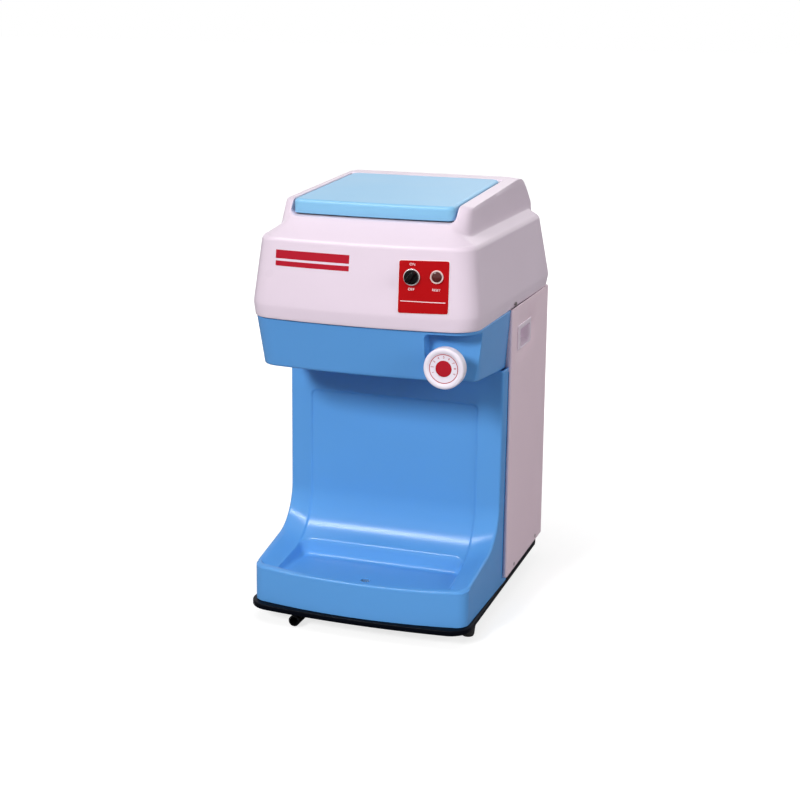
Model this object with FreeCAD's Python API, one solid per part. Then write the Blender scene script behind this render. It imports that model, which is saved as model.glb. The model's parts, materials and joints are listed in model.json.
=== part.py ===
import FreeCAD, Part
import math
import os

# Counter-top electric shaver for cube ice: a blue tray and column on a black base, a blue band
# and a white hood round the head, and a lid over the ice hopper.
# Millimetres. X to the right, the front faces -Y, +Z up. The origin is on the surface that the
# feet stand on, below the middle of the overall width and depth.

Vec = FreeCAD.Vector
X_AXIS = Vec(1, 0, 0)
Y_AXIS = Vec(0, 1, 0)
Z_AXIS = Vec(0, 0, 1)

# ---------------------------------------------------------------- driving dimensions
# Overall
overall_width = 320.0
overall_depth = 402.0
foot_height = 20.0
base_height = 7.5
tray_front_height = 48.0        # base to the rim at the front of the tray
head_underside_height = 273.0   # tray rim to the underside of the head, at the front
band_height = 66.5              # underside of the head to the hood's lip
hood_wall_height = 101.8        # hood's lip to its shoulder
wall = 3.0                      # moulded plastic
sheet = 2.0                     # pressed steel

# Clearances
seat_gap = 0.3                  # between two pieces that only touch
running_gap = 0.05              # radial, shaft in bearing
moving_gap = 1.0                # beside pieces that travel

# Base and feet
base_side_inset = 7.2           # overall width to the base's side
base_bow = 9.9
base_corner = 30.0
base_floor = 2.5
base_rim_width = 12.0
foot_diameter = 20.0
foot_toe_diameter = 17.0
foot_inset = 13.5               # front foot's centre to the base's side
rear_foot_side_inset = 28.8
front_foot_inset = 66.0         # foot centre to the base's front
rear_foot_inset = 34.0
base_vent_count = 6
base_vent_width = 6.0
base_vent_length = 80.0
base_vent_pitch = 14.0
curb_height = 10.7              # low wall on the base that the steel panels stand on

# Tray
tray_setback = 6.0              # base's front to the tray's front
tray_side_inset = 12.0          # overall width to the tray's side, at the front
tray_spread = 4.6               # the tray widens this much towards the rear
tray_bow = 16.7
tray_corner = 18.0
front_land = 8.0                # level top of the rim at the front
rim_rise_angle = 9.3            # degrees, the side rims climb towards the column
rim_sweep_radius = 60.0         # side rim into the column
dish_front_drop = 9.0           # rim to the sloping inside face, at the front
dish_rise_angle = 7.8
bowl_half_front = 123.0
bowl_half_rear = 117.0
bowl_front_inset = 9.5
bowl_length = 114.0
bowl_depth = 12.5               # rim at the front to the bowl's floor
bowl_corner = 14.0
drain_diameter = 13.5
drain_inset = 47.0              # tray's front to the drain

# Column
column_setback = 153.0          # tray's front to the column's face
column_face_half = 120.5
column_bevel_depth = 6.5
column_bevel_width = 29.5
column_bevel_top = 26.0
panel_top_drop = 61.0           # head's underside to the top of the sunk panel
panel_sink = 2.0
panel_margin = 2.0
column_foot_radius = 22.0
column_return = 51.0            # column's face to the rear edge of the blue moulding

# Head band
band_side_inset = 14.6          # overall width to the band's lower edge
band_flare = 4.8                # the band widens this much over its height
band_front_setback = 28.0       # base's front to the band's lower edge
band_lean = 16.3                # how far the band's front leans out over its height
band_bow = 14.5
band_corner = 32.0
band_floor_drop = 14.0          # the underside falls this much towards the rear
band_flange = 14.0              # hidden flange up inside the hood
pocket_left = 86.7
pocket_height = 61.0            # from the band's lower edge
pocket_depth_left = 10.5
pocket_turn_angle = 17.5        # the pocket's back follows the bow of the band
pocket_corner = 5.0

# Hood
hood_front_setback = 6.0
hood_taper = 5.0                # half width gained from the hood's front to its rear
hood_lip_tuck = 2.0
hood_lip_height = 17.3
hood_shell = 2.5
shoulder_side_inset = 16.6      # overall width to the shoulder's side
shoulder_setback = 10.8
shoulder_rear_setback = 9.0
shoulder_rise = 10.1
shoulder_radius = 9.0
ledge_width = 16.1
hood_bow = 15.2
hood_corner = 46.0
block_half_top = 120.0
block_front_rise = 36.5         # shoulder to the front edge of the raised top
block_front_run = 34.0
crown_front_rise = 6.5          # the rim beside the lid climbs inward by this much
crown_rear_rise = 10.5
crown_length = 274.0            # front edge of the raised top to the rear end of its crown
block_rear_run = 67.0           # rear end of the crown to the foot of the block's back
lid_pocket_half = 109.8
lid_pocket_floor_drop = 23.6    # lid's top to the pocket's floor
lid_rear_gap = 2.8
lid_crown_drop = 0.8            # lid's top to the rim beside it

# Lid
lid_half_width = 106.9
lid_setback = 55.5              # hood's front to the lid's front
lid_length = 227.7
lid_slope = 3.14                # degrees
lid_rise = 45.5                 # shoulder to the lid's front edge
lid_skirt = 19.3
lid_wall = 2.5
lid_corner = 9.7
lid_bow = 3.4
lid_edge_radius = 3.5
lid_boss_length = 9.0
hinge_pin_diameter = 5.0
hinge_pin_setback = 5.2         # lid's rear face to the pin
hinge_pin_drop = 5.4            # lid's top to the pin
bumper_diameter = 8.0

# Ice head
shaft_setback = 15.0            # column's face to the rotor's shaft
deck_thickness = 8.0
deck_lift = 47.5                # head's underside to the deck
deck_half_width = 139.0
hopper_bore = 172.0
hopper_wall = 2.5
hopper_flange = 10.0
hopper_top_gap = 5.9            # hopper's top to the floor of the lid pocket
blade_plate_thickness = 6.0
slot_width = 14.0
slot_inner = 40.0
slot_outer = 84.0
mouth_width = 48.0
rotor_hub_diameter = 30.0
rotor_vane_count = 3
rotor_vane_height = 30.0
rotor_vane_thickness = 6.0
rotor_vane_sweep = 24.0         # degrees over the vane's length
vane_tip_gap = 2.0
shaft_diameter = 16.0
bearing_diameter = 35.0
bearing_width = 11.0
bearing_spacing = 24.0
blade_thickness = 2.5
blade_width = 26.0
blade_angle = 32.0
blade_travel = 1.5
holder_thickness = 8.5
holder_arm_width = 16.0
guide_pin_diameter = 6.0

# Drive
rotor_pulley_pitch = 30.0       # radius on the belt's line
motor_pulley_pitch = 12.0
belt_width = 10.0
belt_height = 6.0
pulley_flange = 2.0
pulley_drop = 35.0              # deck to the belt's middle
motor_inset = 109.0             # machine's rear to the motor's axis
motor_diameter = 116.0
motor_length = 132.0
motor_shaft_diameter = 12.0
bracket_thickness = 5.0
bracket_drop = 31.0             # belt's middle to the motor bracket
post_leg = 22.0
post_thickness = 3.0
post_inset = 21.6               # side panel to the post
post_setback = 37.0             # column's face to the front posts

# Adjusting dial
dial_x = 117.0
dial_lift = 24.1                # head's underside to the dial's middle
dial_setback = 1.0              # base's front to the dial's face
dial_diameter = 52.0
dial_rim_width = 7.0
dial_thickness = 15.0
dial_neck_diameter = 30.0
dial_neck_length = 14.0
dial_ring_diameter = 37.0
dial_cap_diameter = 21.5
dial_shaft_diameter = 10.0
cam_radius = 9.0
cam_throw = 0.75
dial_block_lead = 27.0          # column's face to the hanger of the dial's shaft

# Control plate
plate_left = 54.5
plate_width = 62.0
plate_lift = 22.5               # hood's lip to the plate
plate_height = 64.0
plate_thickness = 0.9
plate_seat = 0.2                # the plate's adhesive
plate_corner = 2.5
switch_x = 70.5
switch_rise = 43.5              # plate's lower edge to the switch
switch_knob_diameter = 18.0
switch_knob_length = 11.5
switch_bezel_diameter = 21.0
bezel_gap = 0.3
protector_x = 101.5
protector_rise = 45.1
protector_bezel_diameter = 16.5
protector_button_diameter = 12.0
protector_travel = 2.0

# Side and rear panels
panel_side_inset = 2.4          # overall width to the side panel
panel_setback = 30.0            # column's face to the side panel
panel_bottom_lift = 11.0        # above the top of the base
grip_setback = 40.0             # side panel's front to the hand hold
grip_length = 53.6
grip_lift = 7.5                 # head's underside to the hand hold
grip_height = 25.0
grip_depth = 20.0
grip_frame_front = 12.0
grip_frame_rear = 6.5
grip_frame_top = 7.0
grip_frame_bottom = 2.5
rear_panel_inset = 16.0
side_panel_tail = 10.0          # side panels run on behind the rear panel
louvre_count = 7
louvre_width = 96.0
louvre_height = 5.0
louvre_pitch = 13.0
cord_hole_diameter = 8.0
gland_diameter = 18.0

# Drain spout
spout_x = -85.0
spout_diameter = 15.0
spout_bore = 11.0
spout_length = 43.0

# ---------------------------------------------------------------- derived places
front_y = -overall_depth / 2
rear_y = overall_depth / 2
base_top = foot_height + base_height
rim_front = base_top + tray_front_height
underside_front = rim_front + head_underside_height
hood_bottom = underside_front + band_height
shoulder_height = hood_bottom + hood_wall_height
half_width = overall_width / 2
base_half_width = half_width - base_side_inset
tray_half_front = half_width - tray_side_inset
tray_half_rear = tray_half_front + tray_spread
band_half_bottom = half_width - band_side_inset
band_half_top = band_half_bottom + band_flare
hood_half_rear = half_width - 1.5
hood_half_front = hood_half_rear - hood_taper
shoulder_half = half_width - shoulder_side_inset
ledge_half = shoulder_half - ledge_width
panel_half_width = half_width - panel_side_inset
tray_front = front_y + tray_setback
bowl_floor = rim_front - bowl_depth
column_face = tray_front + column_setback
column_edge = column_face + column_bevel_depth
column_rear = column_face + column_return
band_front = front_y + band_front_setback
hood_front = front_y + hood_front_setback
drain_y = tray_front + drain_inset
panel_front_y = column_face + panel_setback
grip_front_y = panel_front_y + grip_setback
grip_bottom = underside_front + grip_lift
shaft_y = column_face + shaft_setback
motor_y = rear_y - motor_inset
deck_height = underside_front + deck_lift
deck_top = deck_height + deck_thickness
pulley_plane = deck_height - pulley_drop
bracket_height = pulley_plane - bracket_drop
lid_front = hood_front + lid_setback
lid_front_top = shoulder_height + lid_rise
dial_height = underside_front + dial_lift
dial_face_y = front_y + dial_setback
dial_block_y = column_face - dial_block_lead
plate_bottom = hood_bottom + plate_lift
switch_z = plate_bottom + switch_rise
protector_z = plate_bottom + protector_rise
plate_top = deck_top + blade_plate_thickness
hopper_radius = hopper_bore / 2
pulley_bottom = pulley_plane - belt_width / 2 - pulley_flange
pulley_top = pulley_plane + belt_width / 2 + pulley_flange
rear_panel_y = rear_y - rear_panel_inset
post_x = panel_half_width - post_inset
post_front_y = column_face + post_setback
post_rear_y = rear_panel_y - 0.5 - wall - seat_gap
underside_slope = math.degrees(math.atan(band_floor_drop / (panel_front_y - band_front)))


# ---------------------------------------------------------------- general shapes
def wire_of(edges):
    return Part.Wire(Part.__sortEdges__(edges))


def face_of(points):
    return Part.Face(Part.makePolygon(points + [points[0]]))


def box(x0, x1, y0, y1, z0, z1):
    return Part.makeBox(x1 - x0, y1 - y0, z1 - z0, Vec(x0, y0, z0))


def rod(radius, length, start, axis=Z_AXIS):
    return Part.makeCylinder(radius, length, start, axis)


def tube(outer_radius, inner_radius, length, start, axis=Z_AXIS):
    return rod(outer_radius, length, start, axis).cut(rod(inner_radius, length, start, axis))


def fuse_all(shapes):
    result = shapes[0]
    for shape in shapes[1:]:
        result = result.fuse(shape)
    return result.removeSplitter()


def mirrored(shape):
    return shape.mirror(Vec(0, 0, 0), X_AXIS)


def pair(shape):
    """The shape and its mirror image on the other side."""
    return Part.makeCompound([shape, mirrored(shape)])


def side_prism(points, half_width):
    """A profile of (y, z) points, carried right across the machine."""
    corners = [Vec(-half_width, y, z) for y, z in points]
    return face_of(corners).extrude(Vec(2 * half_width, 0, 0))


def rounded_rectangle(x0, x1, y0, y1, radius, z):
    middle_x = (x0 + x1) / 2
    middle_y = (y0 + y1) / 2
    half_x = (x1 - x0) / 2
    half_y = (y1 - y0) / 2
    lean = radius * (1 - math.sqrt(0.5))
    edges = []
    for sx, sy in ((1, 1), (-1, 1), (-1, -1), (1, -1)):
        on_x = Vec(middle_x + sx * half_x, middle_y + sy * (half_y - radius), z)
        on_y = Vec(middle_x + sx * (half_x - radius), middle_y + sy * half_y, z)
        mid = Vec(middle_x + sx * (half_x - lean), middle_y + sy * (half_y - lean), z)
        edges.append(Part.Arc(on_x, mid, on_y).toShape())
    ends = [(half_x - radius, half_y), (half_x, half_y - radius)]
    for sign in (1, -1):
        flat, side = ends
        edges.append(Part.LineSegment(Vec(middle_x - flat[0], middle_y + sign * flat[1], z),
                                      Vec(middle_x + flat[0], middle_y + sign * flat[1], z)).toShape())
        edges.append(Part.LineSegment(Vec(middle_x + sign * side[0], middle_y - side[1], z),
                                      Vec(middle_x + sign * side[0], middle_y + side[1], z)).toShape())
    return wire_of(edges)


def bowed_outline(z, front, rear, half_front, half_rear, bow, front_radius, rear_radius):
    """A rounded rectangle whose front side is one shallow arc, and whose sides may taper."""
    arc_radius = (half_front ** 2 + bow ** 2) / (2 * bow)
    arc_centre = Vec(0, front + arc_radius, z)
    corner = Vec(half_front, front + bow, z)
    back = Vec(half_rear, rear, z)
    along = (back - corner).normalize()
    outward = Vec(along.y, -along.x, 0)
    # The corner's centre lies one radius inside both the side and the front arc.
    start = corner - outward * front_radius - arc_centre
    reach = arc_radius - front_radius
    half_b = start.dot(along)
    step = -half_b - math.sqrt(half_b ** 2 - start.dot(start) + reach ** 2)
    centre = arc_centre + start + along * step
    on_side = centre + outward * front_radius
    toward = (centre - arc_centre).normalize()
    on_arc = arc_centre + toward * arc_radius
    middle = centre + (outward + toward).normalize() * front_radius
    # The rear corner lies one radius inside both the side and the rear line.
    turn_back = (rear - rear_radius - back.y + outward.y * rear_radius) / along.y
    rear_centre = back + along * turn_back - outward * rear_radius
    side_end = rear_centre + outward * rear_radius
    rear_end = rear_centre + Vec(0, rear_radius, 0)
    rear_middle = rear_centre + (outward + Y_AXIS).normalize() * rear_radius
    left = Vec(-1, 1, 1)

    def flip(p):
        return Vec(p.x * left.x, p.y * left.y, p.z * left.z)

    edges = [
        Part.Arc(flip(on_arc), Vec(0, front, z), on_arc).toShape(),
        Part.Arc(on_arc, middle, on_side).toShape(),
        Part.LineSegment(on_side, side_end).toShape(),
        Part.Arc(side_end, rear_middle, rear_end).toShape(),
        Part.LineSegment(rear_end, flip(rear_end)).toShape(),
        Part.Arc(flip(rear_end), flip(rear_middle), flip(side_end)).toShape(),
        Part.LineSegment(flip(side_end), flip(on_side)).toShape(),
        Part.Arc(flip(on_side), flip(middle), flip(on_arc)).toShape(),
    ]
    return Part.Wire(edges)


def loft(sections):
    return Part.makeLoft(sections, True, True)


def prism(wire, height):
    return Part.Face(wire).extrude(Vec(0, 0, height))


def revolve_z(points, centre_x, centre_y):
    """A turned piece: (radius, height) points, spun about an upright axis."""
    corners = [Vec(centre_x + r, centre_y, z) for r, z in points]
    return face_of(corners).revolve(Vec(centre_x, centre_y, 0), Z_AXIS, 360)


def revolve_y(points, centre_x, centre_z):
    """A turned piece: (radius, y) points, spun about an axis that runs front to back."""
    corners = [Vec(centre_x + r, y, centre_z) for r, y in points]
    return face_of(corners).revolve(Vec(centre_x, 0, centre_z), Y_AXIS, 360)


# ---------------------------------------------------------------- base
def base_outline(inset, z):
    return bowed_outline(z, front_y + inset, rear_y - 4 - inset, base_half_width - inset,
                         base_half_width - inset, base_bow, base_corner - inset, 16 - inset)


def foot_places():
    front = (base_half_width - foot_inset, front_y + front_foot_inset)
    rear = (base_half_width - rear_foot_side_inset, rear_y - rear_foot_inset)
    return [(sx * x, y) for sx in (1, -1) for x, y in (front, rear)]


def make_base_pan():
    pan = prism(base_outline(0, foot_height), base_height)
    well = prism(base_outline(base_rim_width, foot_height + base_floor), base_height)
    pan = pan.cut(well)
    first = -base_vent_pitch * (base_vent_count - 1) / 2
    for index in range(base_vent_count):
        x = first + index * base_vent_pitch
        slot = prism(rounded_rectangle(x - base_vent_width / 2, x + base_vent_width / 2,
                                       motor_y - base_vent_length / 2, motor_y + base_vent_length / 2,
                                       base_vent_width / 2 - 0.01, foot_height - 1), base_floor + 2)
        pan = pan.cut(slot)
    low = foot_height + base_floor
    high = base_top + curb_height
    curb = box(-tray_half_rear, tray_half_rear, column_rear + 2, rear_panel_y - 0.5, low, high)
    curb = curb.cut(box(wall - tray_half_rear, tray_half_rear - wall, column_rear - 1,
                        rear_panel_y - 0.5 - wall, low - 1, high + 1))
    pan = pan.fuse(curb).removeSplitter()
    return pan.cut(rod(spout_diameter / 2 + moving_gap, base_height, Vec(spout_x, drain_y, foot_height - 1)))


def make_foot():
    top = foot_diameter / 2
    toe = foot_toe_diameter / 2
    rounding = 3.0
    profile = [(2.6, 6), (2.6, 0), (toe - rounding, 0), (toe - 1, 0.8), (toe, rounding),
               (top, foot_height - 4), (top, foot_height), (0, foot_height), (0, 6)]
    return revolve_z(profile, 0, 0)


def make_feet():
    feet = []
    for x, y in foot_places():
        foot = make_foot()
        foot.translate(Vec(x, y, 0))
        feet.append(foot)
    return Part.makeCompound(feet)


# ---------------------------------------------------------------- tray and column
def rim_profile(lift, setback):
    """The air above the side rims: level land, ramp, then a sweep up into the column."""
    start_y = tray_front + front_land
    slope = math.radians(rim_rise_angle)
    edge = column_edge + setback
    radius = rim_sweep_radius
    touch_y = edge - radius + radius * math.sin(slope)
    touch_z = rim_front + lift + (touch_y - start_y) * math.tan(slope)
    centre_z = touch_z + radius * math.cos(slope)
    mid_angle = (math.radians(-90) + slope) / 2
    middle = Vec(-200, edge - radius + radius * math.cos(mid_angle), centre_z + radius * math.sin(mid_angle))
    low = Vec(-200, touch_y, touch_z)
    high = Vec(-200, edge, centre_z)
    top = underside_front + 60
    corners = [high, Vec(-200, edge, top), Vec(-200, front_y - 40, top),
               Vec(-200, front_y - 40, rim_front + lift), Vec(-200, start_y, rim_front + lift), low]
    edges = [Part.LineSegment(a, b).toShape() for a, b in zip(corners, corners[1:])]
    edges.append(Part.Arc(low, middle, high).toShape())
    return Part.Face(wire_of(edges)).extrude(Vec(400, 0, 0))


def dish_height(y):
    """Height of the sloping inside face of the tray."""
    start = tray_front + front_land
    return rim_front - dish_front_drop + (y - start) * math.tan(math.radians(dish_rise_angle))


def foot_fillet_profile(x, face, base):
    """Closed profile of the hollow curve between the deck and the column's face."""
    r = column_foot_radius
    lean = r * (1 - math.sqrt(0.5))
    back = face + 4
    low = base - 6
    corners = [Vec(x, face, base + r), Vec(x, back, base + r), Vec(x, back, low),
               Vec(x, face - r, low), Vec(x, face - r, base)]
    edges = [Part.LineSegment(a, b).toShape() for a, b in zip(corners, corners[1:])]
    edges.append(Part.Arc(corners[-1], Vec(x, face - lean, base + lean), corners[0]).toShape())
    return Part.Wire(edges)


def dish_section(y, top):
    low = dish_height(y)
    run = (y - tray_front) / bowl_length
    half_low = bowl_half_front + (bowl_half_rear - bowl_half_front) * run + 1
    half_high = tray_half_front - 4
    return Part.makePolygon([Vec(-half_low, y, low), Vec(half_low, y, low), Vec(half_high, y, top),
                             Vec(half_high, y, underside_front), Vec(-half_high, y, underside_front),
                             Vec(-half_high, y, top), Vec(-half_low, y, low)])


def bowl_section(z, inset):
    front = tray_front + bowl_front_inset + inset
    return bowed_outline(z, front, tray_front + bowl_front_inset + bowl_length - inset,
                         bowl_half_front - inset, bowl_half_rear - inset, tray_bow * 0.7,
                         bowl_corner - inset * 0.5, bowl_corner - inset * 0.5)


def make_bowl_space():
    floor_radius = 7.0
    steps = 4
    sections = []
    for index in range(steps + 1):
        angle = math.radians(90) * index / steps
        sections.append(bowl_section(bowl_floor + floor_radius * (1 - math.cos(angle)),
                                     floor_radius * (1 - math.sin(angle)) + 2))
    sections.append(bowl_section(bowl_floor + 34, -4))
    return loft(sections)


def column_plan(z, inset):
    """Plan of the column: a flat face with both edges bevelled back."""
    face = column_face + inset
    edge = column_edge + inset
    outer = column_face_half + column_bevel_width
    return Part.makePolygon([Vec(-outer - 20, edge, z), Vec(-outer, edge, z), Vec(-column_face_half, face, z),
                             Vec(column_face_half, face, z), Vec(outer, edge, z), Vec(outer + 20, edge, z),
                             Vec(outer + 20, column_rear + 50, z), Vec(-outer - 20, column_rear + 50, z),
                             Vec(-outer - 20, edge, z)])


def make_column_body(bottom):
    top = underside_front + 1
    column = prism(column_plan(bottom, 0), top - bottom)
    crease = underside_front - panel_top_drop
    bevel = side_prism([(column_face, crease), (column_edge, crease + column_bevel_top),
                        (column_edge, top + 1), (column_face - 20, top + 1), (column_face - 20, crease)], 200)
    return column.cut(bevel)


def make_column_foot():
    base = dish_height(column_face - column_foot_radius)
    middle = prism_between(foot_fillet_profile(-column_face_half, column_face, base),
                           foot_fillet_profile(column_face_half, column_face, base))
    outer = column_face_half + column_bevel_width
    side = prism_between(foot_fillet_profile(column_face_half, column_face, base),
                         foot_fillet_profile(outer, column_edge, base + 5))
    return [middle, side, mirrored(side)]


def prism_between(first, second):
    return Part.makeLoft([first, second], True, True)


def tray_outline(inset, z):
    return bowed_outline(z, tray_front + inset, column_rear, tray_half_front - inset,
                         tray_half_rear - inset, tray_bow, tray_corner - inset, 0.01)


def make_panel_recess():
    """The sunk centre panel: its face, hollow curve and deck lie a little behind and below."""
    half = column_face_half - panel_margin
    base = dish_height(column_face - column_foot_radius)
    r = column_foot_radius
    lean = r * (1 - math.sqrt(0.5))
    face = column_face + panel_sink
    floor = base - panel_sink
    top = underside_front - panel_top_drop - panel_margin
    front = tray_front + bowl_front_inset + bowl_length - 2
    drop = (face - r - front) * math.tan(math.radians(dish_rise_angle))
    corners = [Vec(-half, face, floor + r), Vec(-half, face, top), Vec(-half, face - 30, top),
               Vec(-half, face - 30, floor + 30), Vec(-half, front, floor + 30),
               Vec(-half, front, floor - drop), Vec(-half, face - r, floor)]
    edges = [Part.LineSegment(a, b).toShape() for a, b in zip(corners, corners[1:])]
    edges.append(Part.Arc(corners[-1], Vec(-half, face - lean, floor + lean), corners[0]).toShape())
    return Part.Face(Part.Wire(edges)).extrude(Vec(2 * half, 0, 0))


def make_front_cavity():
    """The hollow behind the tray and the column, open below and behind."""
    under = bowl_floor - wall
    rear_of_bowl = tray_front + bowl_front_inset + bowl_length
    back = column_face + panel_sink + wall
    base = dish_height(column_face - column_foot_radius) - panel_sink - wall
    radius = column_foot_radius + wall
    centre_y = back - radius
    centre_z = base + radius
    bend = [(centre_y + radius * math.sin(math.radians(a)), centre_z - radius * math.cos(math.radians(a)))
            for a in (10, 30, 50, 70, 90)]
    spread = 1.02
    bend = [(centre_y + (y - centre_y) * spread, centre_z + (z - centre_z) * spread) for y, z in bend]
    profile = [(tray_front + wall, base_top - 1), (tray_front + wall, under), (rear_of_bowl + 3, under),
               (rear_of_bowl + 6, base - 3)] + bend + [
                   (back, underside_front - panel_top_drop),
                   (column_edge + wall, underside_front - panel_top_drop + column_bevel_top),
                   (column_edge + wall, underside_front + 5), (column_rear + 20, underside_front + 5),
                   (column_rear + 20, base_top - 1)]
    hollow = side_prism(profile, column_face_half - 4)
    behind = box(-200, 200, column_edge + wall, column_rear + 20, base_top - 1, underside_front + 5)
    skirt = side_prism([(tray_front + wall, base_top - 1), (tray_front + wall, under),
                        (column_edge + wall + 1, under), (column_edge + wall + 1, base_top - 1)], 200)
    inside = prism(tray_outline(wall, base_top - 1), underside_front)
    lands = pair(make_land_hollow())
    return fuse_all([hollow, behind, skirt] + lands.Solids).common(inside)


def make_land_hollow():
    """The hollow under the sloping inside of one side rim."""
    sections = []
    for y in (tray_front + 24, column_edge + wall + 1):
        run = (y - tray_front) / bowl_length
        low_x = bowl_half_front + (bowl_half_rear - bowl_half_front) * run + 1
        high_x = tray_half_front - 4
        low_z = dish_height(y)
        high_z = rim_front + 1 + (y - tray_front - front_land) * math.tan(math.radians(rim_rise_angle))
        slope = (high_z - low_z) / (high_x - low_x)
        drop = wall * math.sqrt(1 + slope * slope) + 0.6
        near = low_x + 6.5
        far = tray_half_rear
        under = bowl_floor - wall - 1
        sections.append(Part.makePolygon([
            Vec(near, y, under), Vec(far, y, under), Vec(far, y, high_z - drop),
            Vec(high_x, y, high_z - drop), Vec(near, y, low_z + (near - low_x) * slope - drop),
            Vec(near, y, under)]))
    return Part.makeLoft(sections, True, True)


def make_front_body():
    block = prism(tray_outline(0, base_top), underside_front - base_top).common(below_underside(-seat_gap))
    tray = block.cut(rim_profile(0, 0))
    sections = []
    for y, top_lift in ((tray_front + front_land - 1, 1.0), (column_edge, 1.0)):
        top = rim_front + (y - tray_front - front_land) * math.tan(math.radians(rim_rise_angle)) + top_lift
        sections.append(dish_section(y, top))
    bound = bowed_outline(base_top, tray_front + front_land, column_rear, tray_half_front - 4,
                          tray_half_rear - 4, tray_bow, tray_corner - 5, 0.01)
    dish = Part.makeLoft(sections, True, True).common(prism(bound, underside_front))
    tray = tray.cut(dish)
    column = fuse_all([make_column_body(bowl_floor)] + make_column_foot())
    body = tray.fuse(column.common(block))
    body = body.cut(make_bowl_space())
    body = body.cut(make_panel_recess())
    body = body.cut(make_front_cavity())
    boss = rod(drain_diameter / 2 + wall, bowl_floor - 45, Vec(0, drain_y, 45))
    body = body.fuse(boss)
    body = body.cut(rod(drain_diameter / 2, 60, Vec(0, drain_y, 40)))
    return body.removeSplitter()


def make_drain_strainer():
    radius = drain_diameter / 2 - seat_gap
    disc = rod(radius, 2.0, Vec(0, drain_y, bowl_floor - 3.0))
    for index in range(6):
        angle = math.radians(60 * index)
        disc = disc.cut(rod(1.1, 4, Vec(3.9 * math.cos(angle), drain_y + 3.9 * math.sin(angle), bowl_floor - 4)))
    disc = disc.cut(rod(1.1, 4, Vec(0, drain_y, bowl_floor - 4)))
    collar = tube(radius, radius - 1.2, 9, Vec(0, drain_y, bowl_floor - 12))
    return disc.fuse(collar)


def drain_route():
    low = spout_diameter / 2 + 2.0
    level = foot_height + base_floor + spout_diameter / 2 + 4
    return [Vec(0, drain_y, 44.7), Vec(0, drain_y, level), Vec(spout_x, drain_y, level),
            Vec(spout_x, drain_y, low), Vec(spout_x, drain_y - spout_length, low)]


def swept_round(points, bend, radius):
    """A round bar along straight runs joined by tangent arcs."""
    edges = []
    start = points[0]
    for before, corner, after in zip(points, points[1:], points[2:]):
        incoming = (before - corner).normalize()
        outgoing = (after - corner).normalize()
        half_turn = math.acos(max(-1.0, min(1.0, incoming.dot(outgoing)))) / 2
        setback = bend / math.tan(half_turn)
        centre = corner + (incoming + outgoing).normalize() * (bend / math.sin(half_turn))
        first = corner + incoming * setback
        last = corner + outgoing * setback
        middle = centre + (corner - centre).normalize() * bend
        edges.append(Part.LineSegment(start, first).toShape())
        edges.append(Part.Arc(first, middle, last).toShape())
        start = last
    edges.append(Part.LineSegment(start, points[-1]).toShape())
    path = Part.Wire(edges)
    circle = Part.Wire([Part.Circle(points[0], (points[1] - points[0]).normalize(), radius).toShape()])
    return path.makePipeShell([circle], True, False)


def make_drain_pipe():
    route = drain_route()
    outer = swept_round(route, 8.5, spout_diameter / 2)
    inner = swept_round(route, 8.5, spout_bore / 2)
    return outer.cut(inner)


# ---------------------------------------------------------------- head band
def band_section(z, inset):
    share = (z - underside_front) / band_height
    half = band_half_bottom + (band_half_top - band_half_bottom) * share
    front = band_front - band_lean * share
    return bowed_outline(z, front + inset, panel_front_y - 1, half - inset, half + 1 - inset,
                         band_bow, band_corner + 3 * share - inset, 0.01)


def below_underside(offset):
    """Everything under the sloping underside of the head."""
    slope = math.tan(math.radians(underside_slope))
    front = band_front - 40
    rear = panel_front_y + 40
    return side_prism([(front, underside_front + 40 * slope + offset),
                       (rear, underside_front - (rear - band_front) * slope + offset),
                       (rear, -10), (front, -10)], 220)


def pocket_back_y(x):
    """Front of the pocket's back wall, which follows the bow of the band."""
    start = band_front - band_lean * 0.4 + 5.2 + pocket_depth_left
    return start + (x - pocket_left) * math.tan(math.radians(pocket_turn_angle))


def pocket_prism(grow):
    """The space for the dial, cut into the right of the band and open below."""
    depth_y = pocket_back_y(pocket_left) + grow
    run = band_half_top + 30 - pocket_left
    turn = math.tan(math.radians(pocket_turn_angle))
    left = pocket_left - grow
    plan = [Vec(left, front_y - 40, 0), Vec(left, depth_y, 0),
            Vec(left + run, depth_y + run * turn, 0), Vec(left + run, front_y - 40, 0)]
    top = underside_front + pocket_height + grow
    bottom = underside_front - 40
    space = face_of(plan).extrude(Vec(0, 0, top - bottom))
    space.translate(Vec(0, 0, bottom))
    corner_edges = [edge for edge in space.Edges
                    if abs(edge.CenterOfMass.x - left) < 0.01 and abs(edge.CenterOfMass.z - top) < 0.01]
    return space.makeFillet(pocket_corner, corner_edges)


def dial_boss_front():
    return pocket_back_y(dial_x - 12) - 0.5


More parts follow.
